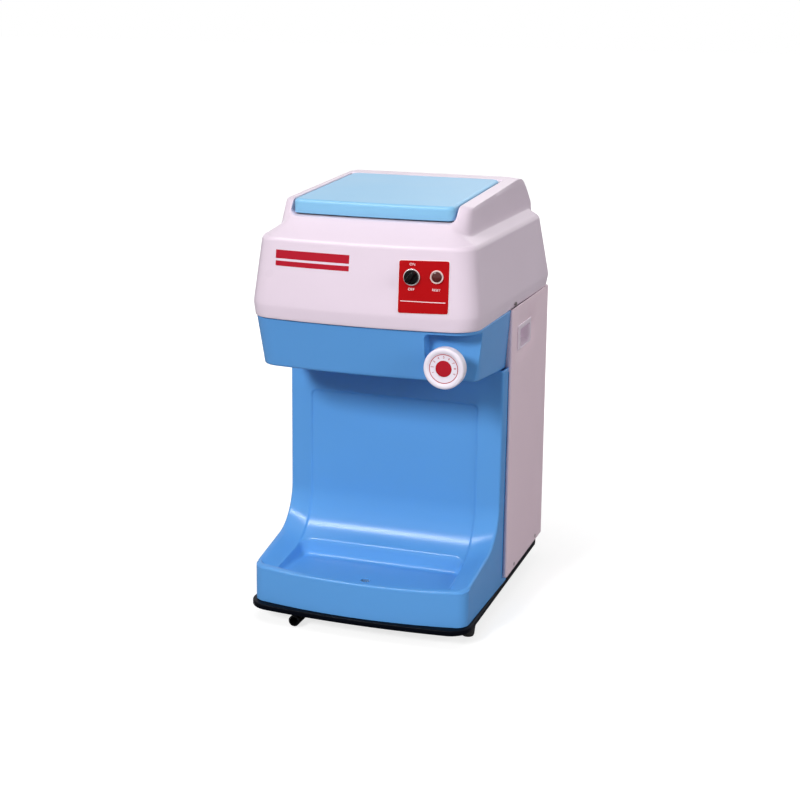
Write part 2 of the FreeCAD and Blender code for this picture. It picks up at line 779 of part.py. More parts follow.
def make_head_band():
    low = underside_front - band_floor_drop - 6
    top = hood_bottom - seat_gap
    outer = loft([band_section(low, 0), band_section(top, 0)])
    outer = outer.cut(below_underside(0))
    inner = loft([band_section(low, wall), band_section(top + 1, wall)]).cut(below_underside(wall))
    opening = box(-400, 400, column_edge + wall, 100, 0, 600)
    floor_end = loft([band_section(low, wall), band_section(top + 1, wall)]).common(opening)
    shell = outer.cut(inner).cut(floor_end)
    pocket_wall = outer.common(pocket_prism(wall)).cut(opening)
    flange_outer = band_section(top, hood_shell + seat_gap)
    flange_inner = band_section(top, hood_shell + seat_gap + wall)
    flange = prism(flange_outer, band_flange).cut(prism(flange_inner, band_flange))
    shelf = prism(band_section(top - wall, 0.5), wall).cut(prism(flange_inner, band_flange + 40))
    shelf_cut = prism(band_section(top - wall, hood_shell + seat_gap + wall), wall)
    band = fuse_all([shell, pocket_wall, flange, shelf.cut(shelf_cut)])
    band = band.cut(pocket_prism(0))
    band = band.fuse(rod(12, 12.5, Vec(dial_x, dial_boss_front(), dial_height), Y_AXIS)).removeSplitter()
    mouth = prism(rounded_rectangle(-mouth_width / 2 - 3, mouth_width / 2 + 3, chute_front() - 3,
                                    chute_rear() + 3, 6, underside_front - 40), 60)
    band = band.cut(mouth)
    return band.cut(rod(dial_shaft_diameter / 2 + 3.5, 80, Vec(dial_x, dial_face_y + 13, dial_height), Y_AXIS))


# ---------------------------------------------------------------- hood
def hood_walls(inset):
    """The hood's body, lip to ledge, with a rounded shoulder."""
    lip = hood_bottom
    wide = hood_bottom + hood_lip_height
    wall_run = hood_half_front - shoulder_half
    wall_rise = shoulder_height - wide
    wall_angle = math.atan2(wall_rise, wall_run)
    ledge_run = shoulder_half - ledge_half
    ledge_angle = math.atan2(shoulder_rise, ledge_run)
    setback = shoulder_radius * math.tan((wall_angle - ledge_angle) / 2)
    levels = [(lip, hood_lip_tuck), (wide, 0.0)]
    centre_in = wall_run - setback * math.cos(wall_angle) + shoulder_radius * math.sin(wall_angle)
    centre_z = shoulder_height - setback * math.sin(wall_angle) - shoulder_radius * math.cos(wall_angle)
    steps = 3
    for index in range(steps + 1):
        angle = wall_angle + (ledge_angle - wall_angle) * index / steps
        levels.append((centre_z + shoulder_radius * math.cos(angle),
                       centre_in - shoulder_radius * math.sin(angle)))
    levels.append((shoulder_height + shoulder_rise, wall_run + ledge_run))
    sections = []
    for z, back in levels:
        share = back / wall_run
        sections.append(bowed_outline(
            z - inset * 0.6 * min(1.0, max(0.0, (z - wide) / wall_rise)),
            hood_front + shoulder_setback * share + inset,
            rear_y - shoulder_rear_setback * min(share, 1.6) - inset,
            hood_half_front - back - inset,
            hood_half_rear - back - (hood_half_rear - hood_half_front) * min(share, 1.0) - inset,
            hood_bow - 3.9 * min(share, 1.4), hood_corner - 7 * min(share, 1.6) - inset,
            20 - inset))
    return loft(sections)


def block_front_y():
    return hood_front + shoulder_setback + block_front_run


def block_top_front():
    return shoulder_height + block_front_rise


def hood_block(inset):
    """The raised part of the hood that carries the lid."""
    low = shoulder_height - 8
    high = block_top_front()
    over = high + 40
    rear = rear_y - 12 - inset
    crease = hood_front + shoulder_setback + 0.8
    back_off = (shoulder_height - low) * block_front_run / block_front_rise
    lean = (over - high) * block_front_run / block_front_rise
    sections = [
        bowed_outline(low, crease - back_off + inset * 1.4, rear, ledge_half + 1.5 - inset,
                      ledge_half + 1.5 - inset, 11.0, 18 - inset, 14 - inset),
        bowed_outline(high, block_front_y() + inset * 1.4, rear, block_half_top + 1.5 - inset,
                      block_half_top + 1.5 - inset, 8.0, 15 - inset, 14 - inset),
        bowed_outline(over, block_front_y() + lean + inset * 1.4, rear, block_half_top - 1.5 - inset,
                      block_half_top - 1.5 - inset, 7.0, 15 - inset, 14 - inset),
    ]
    crest_y = block_front_y() + crown_length
    crest_z = lid_height(crest_y) - lid_crown_drop
    foot_z = shoulder_height + shoulder_rise + 3
    fall = crest_z - foot_z
    profile = [(front_y - 30, crest_z + 5), (crest_y - inset * 0.3, crest_z + 5),
               (crest_y - inset * 0.3, crest_z - inset),
               (crest_y + block_rear_run * 0.35 - inset * 0.6, crest_z - fall * 0.17 - inset),
               (crest_y + block_rear_run * 0.75 - inset, crest_z - fall * 0.60 - inset),
               (crest_y + block_rear_run - inset, foot_z - inset),
               (crest_y + block_rear_run + 4 - inset, low - 1), (front_y - 30, low - 1)]
    return loft(sections).common(side_prism(profile, 200)).common(block_roof(inset, low - 1))


def block_roof(inset, low):
    """Everything under the raised top: level between the rims, then down to their outer edges."""
    near = lid_pocket_half + 1.5
    far = block_half_top + 1.5
    out = far + 30
    sections = []
    for y in (front_y - 20, rear_y + 20):
        share = (y - block_front_y()) / crown_length
        rise = crown_front_rise + (crown_rear_rise - crown_front_rise) * share
        top = lid_height(y) - lid_crown_drop - inset
        edge = top - rise * (out - near) / (far - near)
        sections.append(Part.makePolygon([Vec(-out, y, low), Vec(out, y, low), Vec(out, y, edge),
                                          Vec(near, y, top), Vec(-near, y, top), Vec(-out, y, edge),
                                          Vec(-out, y, low)]))
    return Part.makeLoft(sections, True, True)


def lid_height(y):
    """Height of the lid's top above a place on it."""
    return lid_front_top + (y - lid_front) * math.tan(math.radians(lid_slope))


def pocket_floor(y):
    return lid_height(y) - lid_pocket_floor_drop


def lid_rear():
    return lid_front + lid_length * math.cos(math.radians(lid_slope))


def hinge_y():
    turn = math.radians(lid_slope)
    return lid_front + (lid_length - hinge_pin_setback) * math.cos(turn) + hinge_pin_drop * math.sin(turn)


def hinge_z():
    turn = math.radians(lid_slope)
    return lid_front_top + (lid_length - hinge_pin_setback) * math.sin(turn) - hinge_pin_drop * math.cos(turn)


def lid_pocket_rear():
    return lid_rear() + lid_rear_gap


def recess_prism(grow, drop):
    """The space above the lid pocket's sloping floor."""
    front = hood_front - 10 if grow == 0 else hood_front + 8
    rear = lid_pocket_rear() + grow
    return side_prism([(front, pocket_floor(front) - drop), (rear, pocket_floor(rear) - drop),
                       (rear, shoulder_height + 120), (front, shoulder_height + 120)], lid_pocket_half + grow)


def hopper_opening(z, radius):
    return rod(radius, 80, Vec(0, shaft_y, z))


def make_hood():
    outer = hood_walls(0).fuse(hood_block(0))
    inner = hood_walls(hood_shell).fuse(hood_block(hood_shell + 0.5))
    below = box(-300, 300, -300, 300, hood_bottom - 40, hood_bottom)
    inner = inner.fuse(prism(bowed_outline(hood_bottom - 1, hood_front + hood_shell + 1.5,
                                           rear_y - hood_shell - 1.5, hood_half_front - hood_shell - 2,
                                           hood_half_rear - hood_shell - 2, hood_bow, 42, 16), 6)).cut(below)
    shell = outer.cut(inner)
    recess_body = recess_prism(hood_shell, hood_shell).common(hood_block(0.01))
    hood = fuse_all([shell, recess_body])
    hood = hood.cut(recess_prism(0, 0))
    hood = hood.cut(hopper_opening(pocket_floor(shaft_y) - 30, hopper_radius + hopper_wall + 1.5))
    pin_hole = rod(hinge_pin_diameter / 2 + running_gap, hood_shell + 2,
                   Vec(lid_pocket_half - 1, hinge_y(), hinge_z()), X_AXIS)
    hood = hood.cut(pin_hole).cut(mirrored(pin_hole))
    for place, radius in ((front_place(switch_x, switch_z), 6.5), (front_place(protector_x, protector_z), 7.2)):
        hood = hood.cut(rod(radius, 20, place[0] - place[1] * 10, place[1]))
    screw = rod(1.8, 400, Vec(-200, screw_place()[0], screw_place()[1]), X_AXIS)
    return hood.cut(screw)


def screw_place():
    """Where one screw each side holds the hood: (y, z)."""
    return panel_front_y + 18, hood_bottom + 4.5


# ---------------------------------------------------------------- lid
def lid_frame(shape):
    """Tilts a lid shape, drawn level with its front edge at the origin, to its place."""
    shape.rotate(Vec(0, 0, 0), X_AXIS, lid_slope)
    shape.translate(Vec(0, lid_front, lid_front_top))
    return shape


def lid_outline(z, inset, half):
    return bowed_outline(z, inset, lid_length - inset, half - inset, half - inset, lid_bow,
                         lid_corner - inset, lid_corner - inset)


def make_lid():
    r = lid_edge_radius
    sections = [lid_outline(-lid_skirt, 0, lid_half_width)]
    for angle in (0, 30, 60, 90):
        turn = math.radians(angle)
        sections.append(lid_outline(-r + r * math.sin(turn), r - r * math.cos(turn), lid_half_width))
    outer = loft(sections)
    inner = loft([lid_outline(-lid_skirt - 1, lid_wall, lid_half_width),
                  lid_outline(-lid_wall, lid_wall, lid_half_width)])
    lid = outer.cut(inner)
    for x in (-50, 0, 50):
        rib = box(x - 1, x + 1, lid_wall, lid_length - lid_wall, -lid_wall - 4, -lid_wall)
        lid = lid.fuse(rib)
    for sign in (1, -1):
        start = min(sign * lid_half_width, sign * (lid_half_width - lid_wall - lid_boss_length))
        boss = rod(hinge_pin_setback - 0.4, lid_wall + lid_boss_length,
                   Vec(start, lid_length - hinge_pin_setback, -hinge_pin_drop), X_AXIS)
        web = box(start, start + lid_wall + lid_boss_length, lid_length - hinge_pin_setback - 2,
                  lid_length - 1, -hinge_pin_drop - 1, -lid_wall + 0.5)
        lid = lid.fuse(boss.fuse(web).common(outer))
    lid = lid_frame(lid)
    for sign in (1, -1):
        start = min(sign * (lid_half_width + 5), sign * (lid_half_width - lid_wall - lid_boss_length - 1))
        lid = lid.cut(rod(hinge_pin_diameter / 2 + running_gap, lid_wall + lid_boss_length + 6,
                          Vec(start, hinge_y(), hinge_z()), X_AXIS))
    return lid.removeSplitter()


def make_hinge_pins():
    start = lid_half_width - lid_wall - lid_boss_length + 1
    pin = rod(hinge_pin_diameter / 2, lid_pocket_half + hood_shell - start,
              Vec(start, hinge_y(), hinge_z()), X_AXIS)
    return pair(pin)


def make_bumpers():
    pads = []
    for y in (lid_front + 30.5, lid_front + 184.5):
        x = lid_half_width - lid_wall / 2 - 2.5
        height = lid_pocket_floor_drop - lid_skirt - seat_gap
        pad = rod(bumper_diameter / 2 - 1, height, Vec(x, y, pocket_floor(y) + 0.15))
        pads.extend([pad, mirrored(pad)])
    return Part.makeCompound(pads)


# ---------------------------------------------------------------- control plate
def front_radius(z):
    """Radius of the hood's bowed front, and the place of its centre line, at a height."""
    wide = hood_bottom + hood_lip_height
    share = (z - wide) / (shoulder_height - wide)
    half = hood_half_front - (hood_half_front - shoulder_half) * share
    bow = hood_bow - 3.9 * share
    return (half ** 2 + bow ** 2) / (2 * bow), hood_front + shoulder_setback * share


def front_place(x, z):
    """A point on the hood's front, and the direction that points out of it."""
    radius, front = front_radius(z)
    drop = radius - math.sqrt(radius ** 2 - x ** 2)
    lean = math.atan2(shoulder_setback, shoulder_height - hood_bottom - hood_lip_height)
    yaw = math.asin(x / radius)
    outward = Vec(math.sin(yaw) * math.cos(lean), -math.cos(yaw) * math.cos(lean), math.sin(lean))
    return Vec(x, front + drop, z), outward.normalize()


def on_front(x, z, shape):
    """Stands a shape that was drawn along +Z on the hood's front."""
    place, outward = front_place(x, z)
    turn = FreeCAD.Rotation(Z_AXIS, outward)
    shape.Placement = FreeCAD.Placement(place, turn).multiply(shape.Placement)
    return shape


def make_control_plate():
    layer = hood_walls(-plate_thickness - plate_seat).cut(hood_walls(-plate_seat))
    outline = rounded_rectangle(plate_left, plate_left + plate_width, plate_bottom,
                                plate_bottom + plate_height, plate_corner, 0)
    window = Part.Face(outline).extrude(Vec(0, 0, 120))
    window.rotate(Vec(0, 0, 0), X_AXIS, 90)
    window.translate(Vec(0, -130, 0))
    plate = layer.common(window)
    for x, z, radius in ((switch_x, switch_z, 6.5), (protector_x, protector_z, 7.2)):
        place, outward = front_place(x, z)
        plate = plate.cut(rod(radius, 20, place - outward * 10, outward))
    return plate


def make_switch_bezel():
    ring = tube(switch_bezel_diameter / 2, 6.0, 1.6, Vec(0, 0, plate_thickness + plate_seat + bezel_gap))
    return on_front(switch_x, switch_z, ring)


def make_switch_body():
    body = box(-11, 11, -11, 11, -26, -hood_shell - 1.5).fuse(tube(6.0, 3.1, hood_shell + 2.4, Vec(0, 0, -hood_shell - 1.5)))
    body = body.cut(rod(3.1, 12, Vec(0, 0, -12)))
    return on_front(switch_x, switch_z, body)


def make_switch_knob():
    base = plate_thickness + plate_seat + bezel_gap + 1.9
    skirt = Part.makeCone(switch_knob_diameter / 2, switch_knob_diameter / 2 - 0.8, 4.0, Vec(0, 0, base))
    grip = box(-2.6, 2.6, -switch_knob_diameter / 2 + 0.6, switch_knob_diameter / 2 - 0.6,
               base + 4, base + switch_knob_length)
    drum = Part.makeCone(switch_knob_diameter / 2 - 1.4, switch_knob_diameter / 2 - 2.2,
                         switch_knob_length, Vec(0, 0, base))
    grip = grip.common(drum)
    stem = rod(3.0, base + 9.5, Vec(0, 0, -9.5))
    return on_front(switch_x, switch_z, fuse_all([skirt, grip, stem]))


def make_protector_bezel():
    ring = tube(protector_bezel_diameter / 2, protector_button_diameter / 2 + 0.3, 2.2,
                Vec(0, 0, plate_thickness + plate_seat + bezel_gap))
    return on_front(protector_x, protector_z, ring)


def make_protector_body():
    neck = tube(7.1, protector_button_diameter / 2 + 0.3, hood_shell + 2.4, Vec(0, 0, -hood_shell - 1.5))
    body = box(-9, 9, -13, 13, -34, -hood_shell - 1.5).cut(rod(protector_button_diameter / 2 + 0.3, 9, Vec(0, 0, -12)))
    return on_front(protector_x, protector_z, body.fuse(neck))


def make_protector_button():
    radius = protector_button_diameter / 2
    top = plate_thickness + plate_seat + 2.2 + protector_travel - 0.3
    dome = Part.makeSphere(radius * 1.6, Vec(0, 0, top - radius * 1.6 + 1.2)).common(rod(radius, 8, Vec(0, 0, top - 2)))
    stem = rod(radius, top - 2 + 8.5, Vec(0, 0, -8.5))
    return on_front(protector_x, protector_z, stem.fuse(dome).removeSplitter())


# ---------------------------------------------------------------- adjusting dial
def make_dial_knob():
    face = dial_face_y
    radius = dial_diameter / 2
    inner = radius - dial_rim_width
    back = face + dial_thickness
    profile = [(dial_cap_diameter / 2 + 0.2, face + 1.6), (inner, face + 1.6), (inner + 1, face + 0.8),
               (inner + 2.4, face), (radius - 2.6, face), (radius - 0.9, face + 0.9), (radius, face + 2.8),
               (radius, back - 3), (radius - 1.5, back), (dial_neck_diameter / 2 + 2, back),
               (dial_neck_diameter / 2, back + 2), (dial_neck_diameter / 2, back + dial_neck_length),
               (dial_shaft_diameter / 2, back + dial_neck_length), (dial_shaft_diameter / 2, face + 4),
               (dial_cap_diameter / 2 + 0.2, face + 4)]
    return revolve_y(profile, dial_x, dial_height)


def make_dial_ring():
    outer = dial_ring_diameter / 2
    return tube(outer, outer - 0.9, 0.3, Vec(dial_x, dial_face_y + 1.3, dial_height), Y_AXIS)


def make_dial_cap():
    radius = dial_cap_diameter / 2
    face = dial_face_y + 0.9
    profile = [(0, face), (radius - 1, face), (radius, face + 0.8), (radius, face + 3.0), (0, face + 3.0)]
    return revolve_y(profile, dial_x, dial_height)


def make_dial_shaft():
    start = dial_face_y + 4
    end = dial_block_y + 14
    shaft = rod(dial_shaft_diameter / 2, end - start, Vec(dial_x, start, dial_height), Y_AXIS)
    cam = rod(cam_radius, holder_arm_width - 2, Vec(dial_x, holder_arm_y() - holder_arm_width / 2 + 1,
                                                    dial_height - cam_throw), Y_AXIS)
    return shaft.fuse(cam)


def make_dial_bush():
    """Threaded bush that carries the dial's shaft through the back of the pocket."""
    radius = dial_shaft_diameter / 2
    front = dial_boss_front() - 2.3
    barrel = tube(radius + 3.2, radius + running_gap, 22, Vec(dial_x, front, dial_height), Y_AXIS)
    collar = tube(radius + 6, radius + 3.0, 2.0, Vec(dial_x, front, dial_height), Y_AXIS)
    nut = tube(radius + 7, radius + 3.0, 4, Vec(dial_x, dial_boss_front() + 12.8, dial_height), Y_AXIS)
    return fuse_all([barrel, collar, nut])


def make_dial_block():
    """Hanger under the deck that holds the rear end of the dial's shaft."""
    radius = dial_shaft_diameter / 2
    body = box(dial_x - 9, dial_x + 9, dial_block_y, dial_block_y + 10, dial_height - 10, deck_height)
    return body.cut(rod(radius + running_gap, 30, Vec(dial_x, dial_block_y - 5, dial_height), Y_AXIS))


# ---------------------------------------------------------------- blade and its holder
def slot_middle_y():
    return shaft_y - (slot_inner + slot_outer) / 2


def chute_front():
    return shaft_y - slot_outer - 4


def chute_rear():
    return shaft_y - slot_inner - 2


def holder_arm_y():
    return slot_middle_y() - 6


def blade_profile():
    """Section of the blade: its edge just under the plate's top, its back down to the right."""
    turn = math.radians(blade_angle)
    along = Vec(math.cos(turn), 0, -math.sin(turn))
    under = Vec(-math.sin(turn), 0, -math.cos(turn))
    edge = Vec(0, 0, plate_top - 0.2)
    back = edge + along * blade_width
    heel = edge + along * blade_thickness * 1.6 + under * blade_thickness
    return edge, back, back + under * blade_thickness, heel


def blade_span():
    half = (slot_outer - slot_inner) / 2 - 3.0
    return slot_middle_y() - half, slot_middle_y() + half


def make_blade():
    front, rear = blade_span()
    corners = [Vec(p.x, front, p.z) for p in blade_profile()]
    return face_of(corners).extrude(Vec(0, rear - front, 0))


def holder_top():
    return deck_top - 1.0


def make_blade_holder():
    front, rear = blade_span()
    edge, back, low_back, heel = blade_profile()
    slope = math.tan(math.radians(blade_angle))
    under_x = mouth_width / 2 - moving_gap
    low = deck_height - 2.5 - holder_thickness
    top_start = Vec(heel.x + 3, 0, heel.z - 3 * slope)
    points = [top_start, Vec(under_x, 0, heel.z - (under_x - heel.x) * slope), Vec(under_x, 0, low),
              Vec(top_start.x + 2, 0, low)]
    wedge = face_of([Vec(p.x, front, p.z) for p in points]).extrude(Vec(0, rear - front, 0))
    arm_y = holder_arm_y()
    half = holder_arm_width / 2
    arm = box(under_x - 6, dial_x + 8, arm_y - half, arm_y + half, low, low + holder_thickness - 1.5)
    foot = box(dial_x - 6, dial_x + 6, arm_y - half, arm_y + half,
               dial_height - cam_throw + cam_radius + seat_gap, low + 1)
    holder = fuse_all([wedge, arm, foot])
    for x in guide_places():
        holder = holder.cut(rod(guide_pin_diameter / 2 + running_gap, 40, Vec(x, arm_y, low - 10)))
    return holder


def guide_places():
    return [mouth_width / 2 + 16, dial_x - 17]


def make_guide_pins():
    low = deck_height - 2.5 - holder_thickness - 4
    return Part.makeCompound([rod(guide_pin_diameter / 2, deck_height - low, Vec(x, holder_arm_y(), low))
                              for x in guide_places()])


def make_blade_screws():
    """Two screws that clamp the blade on the sloping face of its holder."""
    turn = math.radians(blade_angle)
    normal = Vec(math.sin(turn), 0, math.cos(turn))
    edge = blade_profile()[0]
    along = Vec(math.cos(turn), 0, -math.sin(turn))
    centre = edge + along * (blade_width * 0.72)
    screws = []
    for y in (slot_middle_y() - 16, slot_middle_y() + 16):
        head = rod(3.2, 1.6, Vec(centre.x, y, centre.z), normal)
        screws.append(head)
    return Part.makeCompound(screws)


# ---------------------------------------------------------------- deck, hopper, rotor
def make_deck():
    deck = prism(bowed_outline(deck_height, front_y + 46, post_rear_y, deck_half_width,
                               deck_half_width, 12, 34, 6), deck_thickness)
    mouth = prism(rounded_rectangle(-mouth_width / 2, mouth_width / 2, chute_front(), chute_rear(), 3,
                                    deck_height - 1), deck_thickness + 2)
    deck = deck.cut(mouth)
    deck = deck.cut(rod(bearing_diameter / 2 - 4, deck_thickness + 2, Vec(0, shaft_y, deck_height - 1)))
    return deck.cut(rod(16, deck_thickness + 2, Vec(0, motor_y, deck_height - 1)))


def make_hopper():
    outer = hopper_radius + hopper_wall
    top = pocket_floor(shaft_y) - hopper_top_gap
    profile = [(hopper_radius, deck_top), (outer + hopper_flange, deck_top), (outer + hopper_flange, deck_top + 4),
               (outer + 2, deck_top + 4), (outer, deck_top + 8), (outer, top), (hopper_radius, top)]
    return revolve_z(profile, 0, shaft_y)


def make_blade_plate():
    plate = rod(hopper_radius - 0.1, blade_plate_thickness, Vec(0, shaft_y, deck_top))
    slot = box(-slot_width / 2 - 3, slot_width / 2 + 4, shaft_y - slot_outer, shaft_y - slot_inner,
               deck_top - 1, plate_top + 1)
    plate = plate.cut(slot)
    relief = box(0, mouth_width / 2, shaft_y - slot_outer, shaft_y - slot_inner, deck_top - 1, deck_top + 3.2)
    plate = plate.cut(relief)
    return plate.cut(rod(shaft_diameter / 2 + moving_gap, 12, Vec(0, shaft_y, deck_top - 2)))


def make_hopper_bolts():
    bolts = []
    radius = hopper_radius + hopper_wall + hopper_flange - 4.2
    for index in range(6):
        angle = math.radians(30 + 60 * index)
        head = Part.makePolygon([Vec(3.6 * math.cos(math.radians(60 * k)), 3.6 * math.sin(math.radians(60 * k)), 0)
                                 for k in range(7)])
        bolt = Part.Face(head).extrude(Vec(0, 0, 4))
        bolt.translate(Vec(radius * math.cos(angle), shaft_y + radius * math.sin(angle), deck_top + 4))
        bolts.append(bolt)
    return Part.makeCompound(bolts)


def vane(index):
    """One swept vane: straight walls between two arcs that lean back."""
    length = hopper_radius - vane_tip_gap
    start = rotor_hub_diameter / 2 - 3
    bottom = plate_top + 2.2
    half = rotor_vane_thickness / 2
    points = []
    for side in (1, -1):
        edge = []
        for step in (0.0, 0.5, 1.0):
            reach = start + (length - start) * step
            turn = -math.radians(rotor_vane_sweep) * step
            middle = Vec(reach * math.cos(turn), reach * math.sin(turn), 0)
            lean = turn - math.radians(rotor_vane_sweep) * 0.9 * step
            edge.append(middle + Vec(-math.sin(lean), math.cos(lean), 0) * half * side)
        points.append(edge)
    upper, lower = points
    lines = [Part.Arc(upper[0], upper[1], upper[2]).toShape(),
             Part.LineSegment(upper[2], lower[2]).toShape(),
             Part.Arc(lower[2], lower[1], lower[0]).toShape(),
             Part.LineSegment(lower[0], upper[0]).toShape()]
    blade = Part.Face(Part.Wire(lines)).extrude(Vec(0, 0, rotor_vane_height))
    blade = blade.common(rod(length - 0.2, rotor_vane_height, Vec(0, 0, 0)))
    blade.rotate(Vec(0, 0, 0), Z_AXIS, 360 / rotor_vane_count * index + 30)
    blade.translate(Vec(0, shaft_y, bottom))
    return blade


def make_rotor():
    bottom = plate_top + 2.2
    hub = rotor_hub_diameter / 2
    top = bottom + rotor_vane_height + 6
    profile = [(shaft_diameter / 2, bottom), (hub + 3, bottom), (hub, bottom + 6), (hub - 2, top),
               (shaft_diameter / 2, top)]
    return fuse_all([revolve_z(profile, 0, shaft_y)] + [vane(index) for index in range(rotor_vane_count)])


def make_rotor_shaft():
    top = plate_top + 2.2 + rotor_vane_height + 6 + 5
    shaft = rod(shaft_diameter / 2, top - pulley_bottom + 4, Vec(0, shaft_y, pulley_bottom - 4))
    collar = rod(shaft_diameter / 2 + 2.2, 2.5, Vec(0, shaft_y, bearing_low() - 2.8))
    return shaft.fuse(collar)


def make_rotor_nut():
    bottom = plate_top + 2.2 + rotor_vane_height + 6
    dome = revolve_z([(shaft_diameter / 2, bottom), (13, bottom), (13, bottom + 3), (11, bottom + 7),
                      (6, bottom + 11), (0, bottom + 12), (0, bottom + 5), (shaft_diameter / 2, bottom + 5)],
                     0, shaft_y)
    return dome


def bearing_low():
    return deck_height - bearing_spacing + 1


def make_bearing(z):
    inner = shaft_diameter / 2 + running_gap
    outer = bearing_diameter / 2 - 0.05
    ring = tube(outer, inner, bearing_width, Vec(0, shaft_y, z))
    for side in (z, z + bearing_width - 1):
        ring = ring.cut(tube(outer - 3.5, inner + 3, 1, Vec(0, shaft_y, side)))
    return ring


def make_bearings():
    return Part.makeCompound([make_bearing(bearing_low()), make_bearing(bearing_low() + bearing_width + 1)])


def make_bearing_housing():
    low = bearing_low()
    bore = bearing_diameter / 2
    profile = [(bore - 3, low - 2), (bore + 5, low - 2), (bore + 5, deck_height - 6), (bore + 14, deck_height - 6),
               (bore + 14, deck_height), (bore, deck_height), (bore, low), (bore - 3, low)]
    return revolve_z(profile, 0, shaft_y)


def make_chute():
    """Collar that guides the shaved ice down through the underside of the head."""
    gap = seat_gap
    outer = (-mouth_width / 2 - 3 + gap, mouth_width / 2 + 3 - gap, chute_front() - 3 + gap, chute_rear() + 3 - gap)
    low = underside_front - 10
    high = deck_height - 2.5 - holder_thickness - 1.5
    collar = prism(rounded_rectangle(*outer, 6, low), high - low)
    bore = prism(rounded_rectangle(outer[0] + 2.2, outer[1] - 2.2, outer[2] + 2.2, outer[3] - 2.2, 4, low - 1),
                 high - low + 2)
    flange = prism(rounded_rectangle(outer[0] - 7, outer[1] + 7, outer[2] - 7, outer[3] + 7, 9,
                                     underside_front + 0.5), 2.5)
    return collar.fuse(flange).cut(bore)


# ---------------------------------------------------------------- drive
def pulley(x, y, pitch, bore, hub_length):
    outer = pitch + belt_height / 2
    root = pitch - belt_height / 2 - 0.6
    low = pulley_bottom
    high = pulley_top
    profile = [(bore, low), (outer, low), (outer, low + pulley_flange - 0.6), (root, low + pulley_flange + 0.4),
               (root, high - pulley_flange - 0.4), (outer, high - pulley_flange + 0.6), (outer, high),
               (bore + 5, high), (bore + 5, high + hub_length), (bore, high + hub_length)]
    return revolve_z(profile, x, y)


def make_rotor_pulley():
    wheel = pulley(0, shaft_y, rotor_pulley_pitch, shaft_diameter / 2, 0.8)
    for index in range(4):
        angle = math.radians(45 + 90 * index)
        wheel = wheel.cut(rod(7, 30, Vec(23 * math.cos(angle), shaft_y + 23 * math.sin(angle), pulley_bottom - 5)))
    return wheel


def make_motor_pulley():
    return pulley(0, motor_y, motor_pulley_pitch, motor_shaft_diameter / 2, 3)


def belt_loop(grow):
    """Outline of the belt: two arcs joined by tangents, grown outward by a distance."""
    big = rotor_pulley_pitch + grow
    small = motor_pulley_pitch + grow
    span = motor_y - shaft_y
    lean = math.asin((big - small) / span)
    right = Vec(math.cos(lean), math.sin(lean), 0)
    left = Vec(-math.cos(lean), math.sin(lean), 0)
    centre_a = Vec(0, shaft_y, 0)
    centre_b = Vec(0, motor_y, 0)
    edges = [
        Part.Arc(centre_a + left * big, centre_a - Y_AXIS * big, centre_a + right * big).toShape(),
        Part.LineSegment(centre_a + right * big, centre_b + right * small).toShape(),
        Part.Arc(centre_b + right * small, centre_b + Y_AXIS * small, centre_b + left * small).toShape(),
        Part.LineSegment(centre_b + left * small, centre_a + left * big).toShape(),
    ]
    return Part.Wire(edges)


def make_belt():
    outer = Part.Face(belt_loop(belt_height / 2 - 0.3)).extrude(Vec(0, 0, belt_width - 1.6))
    inner = Part.Face(belt_loop(-belt_height / 2 - 0.2)).extrude(Vec(0, 0, belt_width - 1.6))
    belt = outer.cut(inner)
    belt.translate(Vec(0, 0, pulley_plane - belt_width / 2 + 0.8))
    return belt


def make_motor():
    top = bracket_height - 0.0
    low = top - motor_length
    r = motor_diameter / 2
    profile = [(motor_shaft_diameter / 2 + 0.5, top), (20, top), (20, top + 4), (motor_shaft_diameter / 2 + 3, top + 4)]
    body = [(0, low), (r - 14, low), (r - 4, low + 8), (r - 4, low + 30), (r, low + 34), (r, top - 34),
            (r - 4, top - 30), (r - 4, top - 8), (r - 10, top), (motor_shaft_diameter / 2 + 0.5, top),
            (motor_shaft_diameter / 2 + 0.5, low + 20), (0, low + 20)]
    motor = revolve_z(body, 0, motor_y)
    for index in range(12):
        angle = math.radians(30 * index)
        fin = box(r - 4.5, r - 1, -2, 2, low + 10, low + 30)
        fin.rotate(Vec(0, 0, 0), Z_AXIS, 30 * index)
        fin.translate(Vec(0, motor_y, 0))
        motor = motor.fuse(fin)
    return motor


def make_motor_shaft():
    low = bracket_height - motor_length + 21
    return rod(motor_shaft_diameter / 2, pulley_top + 5 - low, Vec(0, motor_y, low))


def make_motor_bracket():
    low = bracket_height
    reach = post_x - post_thickness - seat_gap
    plate = box(-reach, reach, post_front_y + post_thickness + seat_gap, post_rear_y - post_thickness - seat_gap,
                low, low + bracket_thickness)
    plate = plate.cut(rod(22, bracket_thickness + 2, Vec(0, motor_y, low - 1)))
    for sign in (1, -1):
        x = sign * 94
        plate = plate.cut(prism(rounded_rectangle(x - 20, x + 20, motor_y - 60, motor_y + 60, 6, low - 1),
                                bracket_thickness + 2))
    return plate


def make_motor_bolts():
    bolts = []
    for index in range(4):
        angle = math.radians(45 + 90 * index)
        place = Vec(34 * math.cos(angle), motor_y + 34 * math.sin(angle), bracket_height + bracket_thickness)
        bolts.append(rod(4.5, 4, place))
    return Part.makeCompound(bolts)


def make_posts():
    low = foot_height + base_floor
    posts = []
    for y, turn in ((post_front_y, 1), (post_rear_y, -1)):
        leg = box(post_x - post_leg, post_x, y, y + turn * post_thickness, low, deck_height) if turn > 0 else \
            box(post_x - post_leg, post_x, y - post_thickness, y, low, deck_height)
        side = box(post_x - post_thickness, post_x, min(y, y + turn * post_leg), max(y, y + turn * post_leg),
                   low, deck_height)
        post = leg.fuse(side).removeSplitter()
        posts.extend([post, mirrored(post)])
    return Part.makeCompound(posts)


